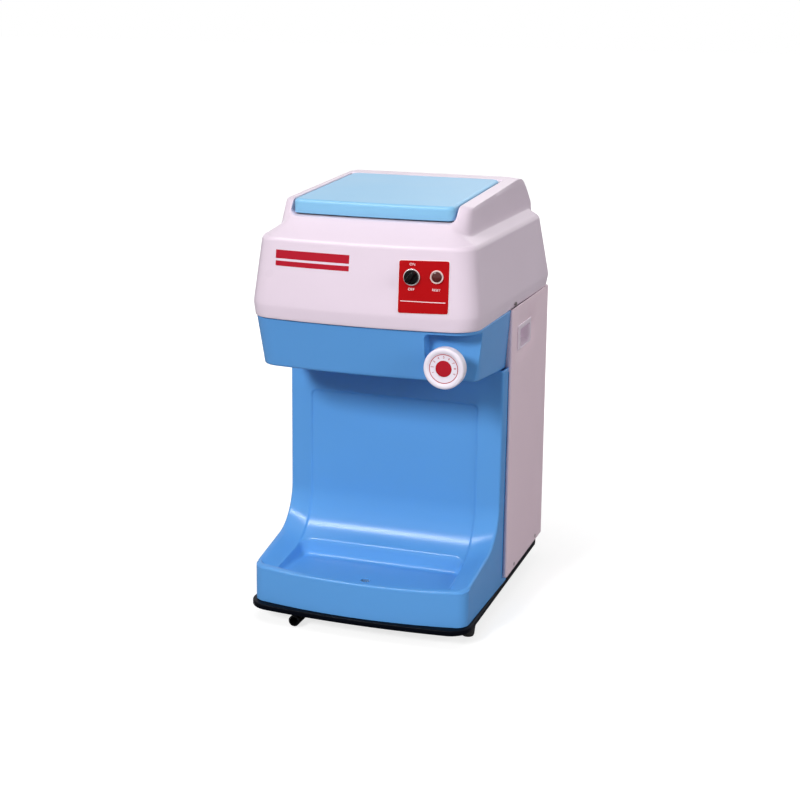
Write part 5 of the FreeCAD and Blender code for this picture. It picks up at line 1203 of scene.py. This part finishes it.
# ------------------------------------------------------------------ lid
@dataclass
class Lid:
    """The pale blue lid: a flat top with a rounded edge and a skirt."""

    half: float = 106.9
    front: float = -139.5
    top: float = 562.3
    length: float = 227.7
    slope: float = math.radians(3.14)
    skirt: float = 18.0
    wall: float = 2.5
    corner: float = 9.7
    bow: float = 3.4
    edge_radius: float = 5.0
    rib_places: tuple[float, ...] = (-50.0, 0.0, 50.0)
    rib_half: float = 1.0
    rib_depth: float = 4.0
    rib_bite: float = 0.5

    def outline(self, inset: float) -> BowedOutline:
        """The lid's outline in its own level frame, moved in by a distance."""
        return BowedOutline(inset, self.length - inset, self.half - inset, self.half - inset, self.bow,
                            self.corner - inset, self.corner - inset, corner_count=10, side_count=30)

    def tilt(self, points: Array) -> Array:
        """Turns level points by the lid's slope about its front edge and moves them into place."""
        y = self.front + points[..., 1] * math.cos(self.slope) - points[..., 2] * math.sin(self.slope)
        z = self.top + points[..., 1] * math.sin(self.slope) + points[..., 2] * math.cos(self.slope)
        return np.stack([points[..., 0], y, z], -1)

    def build(self) -> None:
        """Rings over the rounded edge, with both faces closed by rings that shrink to the middle."""
        r, wall, skirt = self.edge_radius, self.wall, self.skirt
        section = [(wall, -wall), (wall, -skirt + 0.6), (wall - 0.4, -skirt + 0.1), (wall - 0.9, -skirt),
                   (0.9, -skirt), (0.3, -skirt + 0.2), (0.0, -skirt + 0.8), (0.0, -skirt * 0.55),
                   (0.0, -r - 0.6)]
        section += [(r - x, -r + z) for x, z in rounded_corner(0.0, 0.0, r, 0, 90, 8)]
        rings = [at_height(self.outline(inset).ring(), z) for inset, z in section]
        middle = np.array([0.0, self.length / 2.0, 0.0])
        inner = [middle + (rings[0] - middle) * [s, s, 1.0] for s in (0.0, 0.5)]
        outer = [middle + (rings[-1] - middle) * [s, s, 1.0] for s in (0.985, 0.9, 0.7, 0.45, 0.2, 0.0)]
        shell = Shell("lid_finished")
        shell.grid(self.tilt(np.stack(inner + rings + outer)), wrap=True)
        for x in self.rib_places:
            rib = Shell("rib")
            rib.block((x - self.rib_half, wall, -wall - self.rib_depth),
                      (x + self.rib_half, self.length - wall, -wall + self.rib_bite))
            shell.grid(self.tilt(rib.points[0].reshape(4, 4, 3)), wrap=True)
        dress(shell.make(sharp=50.0), LID_BLUE, "lid", "lid_blue", "lid")


# ------------------------------------------------------------------ steel sides
@dataclass
class SidePanel:
    """A bent steel side with its hand hold."""

    side: int = 1
    half: float = 158.4
    lean: float = 3.1
    front: float = -12.0
    rear: float = 195.0
    low: float = 38.5
    top: float = 414.95
    fold_in: float = 152.7
    head_fold_in: float = 141.0
    head_fold_low: float = 331.0
    rear_fold_in: float = 143.6
    bend: float = 2.6
    grip_front: float = 28.0
    grip_length: float = 53.6
    grip_low: float = 356.0
    grip_height: float = 25.0
    grip_depth: float = 18.0
    frame_front: float = 12.0
    frame_rear: float = 6.5
    frame_top: float = 7.0
    frame_low: float = 2.5
    frame_proud: float = 1.6
    frame_corner: float = 3.0
    frame_roll: float = 1.6
    mouth_corner: float = 4.0
    mouth_roll: float = 1.4
    play: float = 2.4
    wall: float = 1.8
    cup_wall: float = 1.4

    @property
    def tag(self) -> str:
        """The side's name as the solids use it."""
        return "right" if self.side > 0 else "left"

    def lean_in(self, z: Array) -> Array:
        """How far the sheet has leant in at a height, in even measure from its foot to its top."""
        return self.lean * (z - self.low) / (self.top - self.low)

    def build(self) -> None:
        """Builds the bent sheet and the cup."""
        self.sheet()
        self.cup()

    def sheet(self) -> None:
        """A plan path, front fold, bend, side, bend, rear fold, carried up the height; a window left out."""
        b = self.bend
        front = rounded_corner(self.half - b, self.front + b, b, 270, 360, 7)
        rear = rounded_corner(self.half - b, self.rear - b, b, 0, 90, 7)
        y0 = self.grip_front - self.play
        y1 = self.grip_front + self.grip_length + self.play
        flat = [(self.half, y) for y in (8.0, y0, y1, 130.0)]
        path = np.array([(self.fold_in, self.front)] + front + flat + rear + [(self.rear_fold_in, self.rear)])
        rows = np.array([self.low, self.low + 1.0, 120.0, 250.0, self.head_fold_low, self.head_fold_low + 0.02,
                         self.grip_low - self.play, self.grip_low + self.grip_height + self.play,
                         self.top - 0.6, self.top])
        grid = np.empty((len(rows), len(path), 3))
        grid[..., :2] = path
        grid[..., 2] = rows[:, None]
        grid[:, 1:-1, 0] -= self.lean_in(grid[:, 1:-1, 2])
        grid[5:, 0, 0] = self.head_fold_in
        keep = np.ones((len(rows) - 1, len(path) - 1), bool)
        keep[6, 1 + len(front) + 1] = False
        grid[..., 0] *= self.side
        shell = Shell("side_panel_%s_finished" % self.tag)
        shell.grid(grid, keep=keep)
        piece = shell.make(thickness=self.wall, facing=(self.side, 0.0, 0.0), sharp=28.0, merge=0.001)
        dress(piece, PANEL_WHITE, "chassis", "panel_white", "side_panel_" + self.tag)

    def cup(self) -> None:
        """The hand hold: its depth over (y, z) is a proud frame with rolled edges and a hollow inside.

        The hollow's floor climbs inwards and its roof is level, so that fingers hook behind it.
        """
        y0, y1 = self.grip_front - self.frame_front, self.grip_front + self.grip_length + self.frame_rear
        z0, z1 = self.grip_low - self.frame_low, self.grip_low + self.grip_height + self.frame_top
        gy0, gy1 = self.grip_front, self.grip_front + self.grip_length
        gz0, gz1 = self.grip_low, self.grip_low + self.grip_height
        border = np.array([0.0, 0.15, 0.5, 1.0, 1.6])
        mouth = np.array([-1.2, -0.6, -0.2, 0.2, 0.6, 1.2, 2.0, 3.0])
        ys = join_spans(y0 + border, [y0 + 2.4], np.linspace(y0 + 3.5, gy0 - 2.0, 6), gy0 + mouth,
                        np.linspace(gy0 + 4.0, gy1 - 4.0, 18), gy1 - mouth,
                        np.linspace(gy1 + 2.0, y1 - 2.4, 4), y1 - border)
        zs = join_spans(z0 + border, gz0 + mouth[1:], [gz0 + 4.2], np.linspace(gz0 + 5.4, gz1 - 4.0, 10),
                        gz1 - mouth, np.linspace(gz1 + 2.0, z1 - 2.4, 4), z1 - border)
        y, z = np.meshgrid(ys, zs)
        hole = inside_window(y, z, (gy0, gz0), (gy1, gz1), self.mouth_corner)
        rim = rolled(inside_window(y, z, (y0, z0), (y1, z1), self.frame_corner), self.frame_roll)
        depth = np.clip((z - gz0 + 0.2) / 6.2, 0.0, 1.0) * self.grip_depth * step_between(hole, -0.2, 1.0)
        x = self.half + self.frame_proud - rim - depth
        x = x - rolled(-hole, self.mouth_roll) * (hole < 0.0) - self.lean_in(z)
        shell = Shell("grip_cup_%s_finished" % self.tag)
        shell.grid(np.stack([x * self.side, y, z], -1))
        piece = shell.make(thickness=self.cup_wall, facing=(self.side, 0.0, 0.0), sharp=55.0)
        dress(piece, SHELL_WHITE, "chassis", "shell_white", "grip_cup_" + self.tag)


# ------------------------------------------------------------------ controls
@dataclass
class FrontFace:
    """The hood's bowed front, which the plate, the switch and the stripes follow."""

    hood: Hood = field(default_factory=Hood)

    def place(self, x: Array, z: Array) -> tuple[Array, Array]:
        """Points on the front and the directions out of it.

        Args:
            x: Places across.
            z: Heights.
        Returns:
            Points and unit normals, both (..., 3).
        """
        h = self.hood
        share = (z - h.wide) / (h.shoulder - h.wide)
        half = h.half_front - h.wall_run * share
        bow = h.bow - h.bow_fall * share
        radius = bow_radius(half, bow)
        y = h.front + h.setback * share + radius - np.sqrt(radius ** 2 - x ** 2)
        lean = math.atan2(h.setback, h.shoulder - h.wide)
        yaw = np.arcsin(x / radius)
        normal = np.stack([np.sin(yaw) * math.cos(lean), -np.cos(yaw) * math.cos(lean),
                           np.full_like(yaw, math.sin(lean))], -1)
        return np.stack([x, y, z], -1), normal

    def sheet(self, name: str, x0: float, x1: float, z0: float, z1: float, lift: float,
              thick: float, corner: float, counts: tuple[int, int] = (24, 16),
              turn: float = 0.0) -> bpy.types.Object:
        """A thin closed sheet that lies on the front, with round corners.

        Its rings run from the middle of the outer face over the edge to the middle of the inner face.

        Args:
            name: Piece name.
            x0: Left side.
            x1: Right side.
            z0: Lower side.
            z1: Upper side.
            lift: Height of the inner face above the hood.
            thick: Thickness of the sheet.
            corner: Corner radius.
            counts: Points along each long and short side.
            turn: Small turn in the face, anticlockwise, in radians.
        Returns:
            The new object.
        """
        corner = min(corner, (x1 - x0) / 2.0, (z1 - z0) / 2.0)
        centres = ((x1 - corner, z0 + corner), (x1 - corner, z1 - corner),
                   (x0 + corner, z1 - corner), (x0 + corner, z0 + corner))
        arcs = [np.array(rounded_corner(cx, cz, corner, 90 * k - 90, 90 * k, 6))
                for k, (cx, cz) in enumerate(centres)]
        loop = []
        for index, arc in enumerate(arcs):
            following = arcs[(index + 1) % 4][0]
            loop += [arc, np.linspace(arc[-1], following, counts[index % 2 == 0] + 2)[1:-1]]
        loop = np.vstack(loop)
        middle = np.array([(x0 + x1) / 2.0, (z0 + z1) / 2.0])
        bevel = min(0.25, thick * 0.4)
        size = np.array([x1 - x0, z1 - z0])
        section = [(s, thick) for s in (0.0, 0.3, 0.6, 0.85, 1.0 - 2.0 * bevel / size)] + [(1.0, thick - bevel)]
        section += [(s, 0.0) for s in (1.0, 0.85, 0.5, 0.0)]
        grid = []
        for share, height in section:
            flat = middle + (loop - middle) * share
            flat = flat + (flat - middle) @ np.array([[0.0, turn], [-turn, 0.0]])
            point, normal = self.place(flat[:, 0], flat[:, 1])
            grid.append(point + normal * (lift + height))
        shell = Shell(name)
        shell.grid(np.stack(grid), wrap=True)
        return shell.make(sharp=40.0, merge=0.002)


def raised_text(name: str, text: str, size: float, place: Array, right: Array, up: Array,
                thick: float) -> bpy.types.Object:
    """A short piece of plain lettering as a thin solid.

    Args:
        name: Piece name.
        text: The characters.
        size: Letter size in millimetres.
        place: Middle of the text.
        right: Unit direction of reading.
        up: Unit direction of the letters' top.
        thick: Height above the surface.
    Returns:
        The new object, with its place in its mesh.
    """
    curve = bpy.data.curves.new(name + "_curve", "FONT")
    curve.body = text
    curve.size = size * MM
    curve.align_x = "CENTER"
    curve.align_y = "CENTER"
    curve.extrude = thick * MM / 2.0
    curve.resolution_u = 3
    holder = place_object(name + "_holder", curve)
    mesh = bpy.data.meshes.new_from_object(holder)
    mesh.name = name
    bpy.data.objects.remove(holder)
    right_v = Vector(right).normalized()
    up_v = Vector(up).normalized()
    turn = Matrix((right_v, up_v, right_v.cross(up_v))).transposed().to_4x4()
    mesh.transform(Matrix.Translation(Vector(place) * MM) @ turn)
    return place_object(name, mesh)


@dataclass
class Controls:
    """The red plate, the rotary switch, the reset button and the two stripes."""

    face: FrontFace = field(default_factory=FrontFace)
    plate_left: float = 54.5
    plate_width: float = 62.0
    plate_low: float = 437.5
    plate_height: float = 64.0
    plate_seat: float = 0.2
    plate_thick: float = 0.9
    plate_turn: float = 0.02
    switch_x: float = 70.5
    switch_z: float = 481.0
    reset_x: float = 101.5
    reset_z: float = 482.6
    bezel_gap: float = 0.3
    # Width of the painted highlight: a rim of brighter white round the red plate.
    highlight_rim: float = 0.8
    rule_low: float = 451.2
    rule_high: float = 452.1
    grip_turn: float = math.radians(52.0)

    def spot(self, x: float, z: float) -> tuple[Array, Array]:
        """One place on the front and its direction."""
        point, normal = self.face.place(np.array([x]), np.array([z]))
        return point[0], normal[0]

    def build(self) -> None:
        """Builds and dresses every control."""
        seat = self.plate_seat + self.plate_thick
        left, right_side = self.plate_left, self.plate_left + self.plate_width
        low, high, wide = self.plate_low, self.plate_low + self.plate_height, self.highlight_rim
        plate = self.face.sheet("control_plate_finished", left, right_side, low, high, self.plate_seat,
                                self.plate_thick, 2.5, turn=self.plate_turn)
        dress(plate, PLATE_RED, "chassis", "plate_red", "control_plate")
        # Painted highlight: a thin sheet of brighter white round the red plate stands in for the light caught
        # along its edge.
        highlight_rim = self.face.sheet("plate_highlight_rim", left - wide, right_side + wide, low - wide, high + wide,
                                 0.02, 0.3, 3.0, turn=self.plate_turn)
        dress(highlight_rim, PRINT_WHITE, "chassis", "shell_white")
        rule = self.face.sheet("plate_rule", left + 3.0, right_side - 3.0, self.rule_low, self.rule_high,
                               seat - 0.02, 0.12, 0.3)
        dress(rule, PRINT_WHITE, "chassis", "shell_white")
        for name, text, x, z, size in (("legend_on", "ON", self.switch_x, 496.6, 4.6),
                                       ("legend_off", "OFF", self.switch_x, 466.2, 4.6),
                                       ("legend_reset", "RESET", self.reset_x, 466.6, 4.0)):
            point, normal = self.spot(x, z)
            right, up = across_axis(normal)
            words = raised_text(name, text, size, point + normal * (seat + 0.05), right, up, 0.14)
            dress(words, PRINT_WHITE, "chassis", "shell_white")
        self.switch(seat)
        self.reset(seat)
        for name, z0, z1 in (("stripe_upper", 492.3, 503.0), ("stripe_lower", 483.0, 489.4)):
            stripe = self.face.sheet(name, -112.0, -11.0, z0, z1, 0.02, 0.14, 0.5)
            dress(stripe, PRINT_RED, "chassis", "plate_red")

    def switch(self, seat: float) -> None:
        """The bright bezel, and the knob: a drum with a raised grip bar across it."""
        place, out = self.spot(self.switch_x, self.switch_z)
        low = seat + self.bezel_gap
        bezel = [(6.0, low), (10.5, low), (10.5, low + 0.9)] + rounded_corner(9.8, low + 0.9, 0.7, 0, 90) + [
            (9.4, low + 1.6), (6.0, low + 1.5), (6.0, low)]
        dress(lathe("switch_bezel_finished", bezel, place, out), BRIGHT, "chassis", "bright", "switch_bezel")
        base = low + 1.9
        drum = [(0.0, -9.5), (3.0, -9.5), (3.0, base), (8.6, base), (9.0, base + 0.5)]
        drum += [(9.0, base + 2.6)] + rounded_corner(8.0, base + 3.0, 1.0, 0, 90) + [(0.0, base + 4.0)]
        knob = lathe("switch_knob_drum", drum, place, out)
        dress(knob, SWITCH_BLACK, "switch", "switch_black", "switch_knob")
        right, up = across_axis(out)
        along = np.cos(self.grip_turn) * right + np.sin(self.grip_turn) * up
        across = np.cross(out, along)
        profile = np.array([(0.0, 0.0), (0.7, 0.0), (1.0, 0.12), (1.0, 0.82), (0.92, 0.95), (0.78, 1.0),
                            (0.0, 1.0)])
        turn = np.linspace(0.0, 2.0 * math.pi, 64, endpoint=False)
        long, wide, tall = 8.0, 2.7, 8.0
        cos, sin = (np.sign(w) * np.sqrt(np.abs(w)) for w in (np.cos(turn), np.sin(turn)))
        bar = (cos * long)[None, :, None] * along + (sin * wide)[None, :, None] * across
        lift = out * (base + 3.2 + profile[:, 1] * tall)[:, None, None]
        grid = place + bar * profile[:, 0][:, None, None] + lift
        shell = Shell("switch_knob_grip")
        shell.grid(grid, wrap=True)
        dress(shell.make(sharp=45.0), SWITCH_BLACK, "switch", "switch_black")

    def reset(self, seat: float) -> None:
        """The pale ring and the domed button of the overload protector."""
        place, out = self.spot(self.reset_x, self.reset_z)
        low = seat + self.bezel_gap
        ring = [(6.3, low), (8.25, low), (8.25, low + 1.2)] + rounded_corner(7.5, low + 1.3, 0.75, 0, 100) + [
            (6.9, low + 1.8), (6.3, low + 1.3), (6.3, low)]
        dress(lathe("protector_bezel_finished", ring, place, out), BEZEL_PALE, "chassis", "bezel_pale",
              "protector_bezel")
        top = seat + 2.2 + 1.7
        dome = [(6.0 * math.sin(a), top - 0.6 + 1.6 * math.cos(a)) for a in np.radians(np.linspace(90, 0, 8))]
        button = [(0.0, -8.5), (6.0, -8.5)] + dome
        dress(lathe("protector_button_finished", button, place, out, sharp=60.0), LENS_RED, "reset", "lens_red",
              "protector_button")


@dataclass
class Dial:
    """The white adjusting dial with its red middle, its ring and its numbers."""

    x: float = 117.0
    z: float = 372.6
    face: float = -200.0
    radius: float = 26.0
    rim: float = 7.0
    thick: float = 15.0
    neck: float = 15.0
    neck_length: float = 14.0
    shaft: float = 5.0
    cap: float = 10.2
    ring: float = 18.5
    numbers: int = 9

    def build(self) -> None:
        """Turns the knob, the cap and the ring, and sets the numbers between them."""
        place = np.array([self.x, self.face, self.z])
        back = np.array([0.0, 1.0, 0.0])
        inner = self.radius - self.rim
        steps = ((-1.2, 0.7), (-0.7, 0.45), (0.0, 0.0), (0.9, -0.55), (1.8, -0.8))
        profile = [(self.cap + 0.2, 1.6), (inner - 0.6, 1.6)]
        profile += [(inner + 0.9 + x, 0.8 + y) for x, y in steps]
        profile += [(self.radius - 3.2, 0.0)]
        profile += [(self.radius - 3.0 + 3.0 * math.sin(a), 3.0 - 3.0 * math.cos(a))
                    for a in np.radians(np.linspace(8, 90, 8))]
        profile += [(self.radius, self.thick - 3.0)]
        profile += rounded_corner(self.radius - 2.0, self.thick - 2.0, 2.0, 0, 90)
        profile += [(self.neck + 2.0, self.thick), (self.neck, self.thick + 2.0),
                    (self.neck, self.thick + self.neck_length), (self.shaft, self.thick + self.neck_length),
                    (self.shaft, 4.0), (self.cap + 0.2, 4.0), (self.cap + 0.2, 1.6)]
        knob = lathe("dial_knob_finished", profile, place, back, 96)
        dress(knob, KNOB_WHITE, "dial", "shell_white", "dial_knob")
        cap = [(0.0, 0.9)] + [(self.cap - 0.9 + 0.9 * math.sin(a), 1.8 - 0.9 * math.cos(a))
                              for a in np.radians(np.linspace(0, 90, 6))] + [(self.cap, 3.9), (0.0, 3.9)]
        dress(lathe("dial_cap_finished", cap, place, back, 64), DIAL_RED, "dial", "dial_red", "dial_cap")
        ring = [(self.ring - 0.9, 1.62), (self.ring - 0.85, 1.42), (self.ring - 0.05, 1.42), (self.ring, 1.62),
                (self.ring - 0.9, 1.62)]
        dress(lathe("dial_ring_finished", ring, place, back, 96), DIAL_RED, "dial", "dial_red", "dial_ring")
        for index in range(self.numbers):
            turn = math.radians(-112.0 + 224.0 * index / (self.numbers - 1))
            up = np.array([math.sin(turn), 0.0, math.cos(turn)])
            right = np.array([math.cos(turn), 0.0, -math.sin(turn)])
            point = np.array([self.x, self.face + 1.55, self.z]) + up * 14.5
            mark = raised_text("dial_number_%d" % (index + 1), str(index + 1), 4.4, point, right, up, 0.16)
            dress(mark, DIAL_RED, "dial", "dial_red")


# ------------------------------------------------------------------ studio
class Studio:
    """Floor, lamps and camera, in metres."""

    WHITE = (1.0, 1.0, 1.0, 1.0)
    SENSOR = 36.0
    REACH = 30.0
    CAMERA_AT = (0.6332, -1.9294, 0.7995)
    YAW, PITCH, ROLL = 0.319, 0.253, 0.014
    FOCAL_PX = 1517.1
    FRAME_PX = 800.0

    def world(self) -> None:
        """White where it is seen directly or in gloss, a plain soft fill for everything else."""
        world = bpy.data.worlds.new("studio")
        bpy.context.scene.world = world
        world.use_nodes = True
        tree = world.node_tree
        fill = tree.nodes["Background"]
        set_inputs(fill, Color=(1.0, 0.985, 1.0, 1.0), Strength=0.06)
        seen = add_node(tree, "Background", Color=self.WHITE, Strength=1.0)
        path = add_node(tree, "LightPath").outputs
        first = add_node(tree, "Math", "MAXIMUM")
        second = add_node(tree, "Math", "MAXIMUM")
        mix = add_node(tree, "MixShader")
        wire(tree, (path["Is Camera Ray"], first.inputs[0]), (path["Is Glossy Ray"], first.inputs[1]),
             (first.outputs[0], second.inputs[0]), (path["Is Transmission Ray"], second.inputs[1]),
             (second.outputs[0], mix.inputs["Fac"]), (fill.outputs[0], mix.inputs[1]),
             (seen.outputs[0], mix.inputs[2]),
             (mix.outputs[0], tree.nodes["World Output"].inputs["Surface"]))

    def floor(self) -> None:
        """A plain pale floor that keeps the object's shadow and turns white away from it."""
        mesh = bpy.data.meshes.new("floor")
        corners = ((-1, -1), (1, -1), (1, 1), (-1, 1))
        mesh.from_pydata([(self.REACH * x, self.REACH * y, 0.0) for x, y in corners], [], [(0, 1, 2, 3)])
        piece = place_object("floor", mesh)
        made = bpy.data.materials.new("floor_paper")
        made.use_nodes = True
        tree = made.node_tree
        tree.nodes.remove(tree.nodes["Principled BSDF"])
        plain = add_node(tree, "BsdfDiffuse", Color=(0.32, 0.31, 0.32, 1.0))
        shadow = add_node(tree, "BsdfDiffuse", Color=(0.40, 0.40, 0.40, 1.0))
        glow = add_node(tree, "Emission", Color=self.WHITE)
        place = add_node(tree, "TexCoord")
        far = add_node(tree, "VectorMath", "LENGTH")
        rise = add_node(tree, "MapRange", From_Min=0.3, From_Max=1.0, To_Min=0.76, To_Max=1.0)
        both = add_node(tree, "AddShader")
        mix = add_node(tree, "MixShader")
        path = add_node(tree, "LightPath")
        wire(tree, (place.outputs["Object"], far.inputs[0]), (far.outputs["Value"], rise.inputs["Value"]),
             (rise.outputs["Result"], glow.inputs["Strength"]), (shadow.outputs[0], both.inputs[0]),
             (glow.outputs[0], both.inputs[1]), (path.outputs["Is Camera Ray"], mix.inputs["Fac"]),
             (plain.outputs[0], mix.inputs[1]), (both.outputs[0], mix.inputs[2]),
             (mix.outputs[0], tree.nodes["Material Output"].inputs["Surface"]))
        mesh.materials.append(made)

    def lamp(self, name: str, at: tuple[float, float, float], aim: tuple[float, float, float],
             size: tuple[float, float], power: float, diffuse: bool = True, glossy: bool = True) -> None:
        """One soft rectangular lamp.

        Args:
            name: Lamp name.
            at: Its place in metres.
            aim: The point that it faces.
            size: Its width and height.
            power: Its power in watts.
            diffuse: Whether it lights matt surfaces.
            glossy: Whether it shows as a gleam.
        """
        light = bpy.data.lights.new(name, "AREA")
        light.shape = "RECTANGLE"
        light.size, light.size_y = size
        light.energy = power
        holder = place_object(name, light)
        look = (Vector(aim) - Vector(at)).to_track_quat("-Z", "Y").to_matrix().to_4x4()
        holder.matrix_world = Matrix.Translation(Vector(at)) @ look
        holder.visible_diffuse = diffuse
        holder.visible_glossy = glossy

    def lights(self) -> None:
        """Key, top, side and back light matt surfaces only; the strip and the rim make the gleams only."""
        for row in (("key", (-1.35, -4.2, 2.7), (0.0, -0.05, 0.3), (1.0, 1.0), 184.0),
                    ("top", (-0.3, -0.5, 3.2), (0.0, -0.1, 0.3), (2.0, 2.0), 26.0),
                    ("side", (4.0, -1.2, 1.6), (0.0, 0.0, 0.3), (2.0, 2.0), 72.0),
                    ("back", (0.8, 4.2, 2.0), (0.0, 0.0, 0.3), (2.0, 2.0), 70.0)):
            self.lamp(*row, glossy=False)
        for row in (("strip", (-0.86, -1.236, 2.256), (-0.86, -0.06, 0.1), (1.6, 0.14), 60.0),
                    ("rim", (0.4, 3.2, 2.2), (0.0, 0.0, 0.5), (3.0, 0.5), 12.0)):
            self.lamp(*row, diffuse=False)

    def camera(self) -> None:
        """The camera: yaw and pitch from the front, a slight roll, and a plain lens."""
        data = bpy.data.cameras.new("camera")
        holder = place_object("camera", data)
        level = math.cos(self.PITCH)
        forward = Vector((-math.sin(self.YAW) * level, math.cos(self.YAW) * level, -math.sin(self.PITCH)))
        right = forward.cross(Vector((0.0, 0.0, 1.0))).normalized()
        up = right.cross(forward)
        c, s = math.cos(self.ROLL), math.sin(self.ROLL)
        turn = Matrix((right * c + up * s, up * c - right * s, -forward)).transposed().to_4x4()
        holder.matrix_world = Matrix.Translation(Vector(self.CAMERA_AT)) @ turn
        data.sensor_width = self.SENSOR
        data.lens = self.FOCAL_PX / self.FRAME_PX * self.SENSOR
        data.clip_end = 100.0
        bpy.context.scene.camera = holder

    def build(self) -> None:
        """Sets the whole studio."""
        self.world()
        self.floor()
        self.lights()
        self.camera()
        bpy.context.scene.view_settings.view_transform = "Standard"


def dress_nodes(frame: dict) -> None:
    """Gives every solid of the frame the finish of its slot."""
    for part in frame["record"]["subparts"]:
        node = frame["nodes"][part["node"]]
        node.data.materials.clear()
        node.data.materials.append(SLOT_FINISHES[part["material_slot"]].material())


def main() -> None:
    """Builds the finished part round its frame."""
    logging.basicConfig(level=logging.INFO, format="%(message)s")
    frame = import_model()
    dress_nodes(frame)
    Base().build()
    TrayAndColumn().build()
    HeadBand().build()
    Hood().build()
    Lid().build()
    for side in (1, -1):
        SidePanel(side=side).build()
    Controls().build()
    Dial().build()
    Studio().build()


if __name__ == "__main__":
    main()
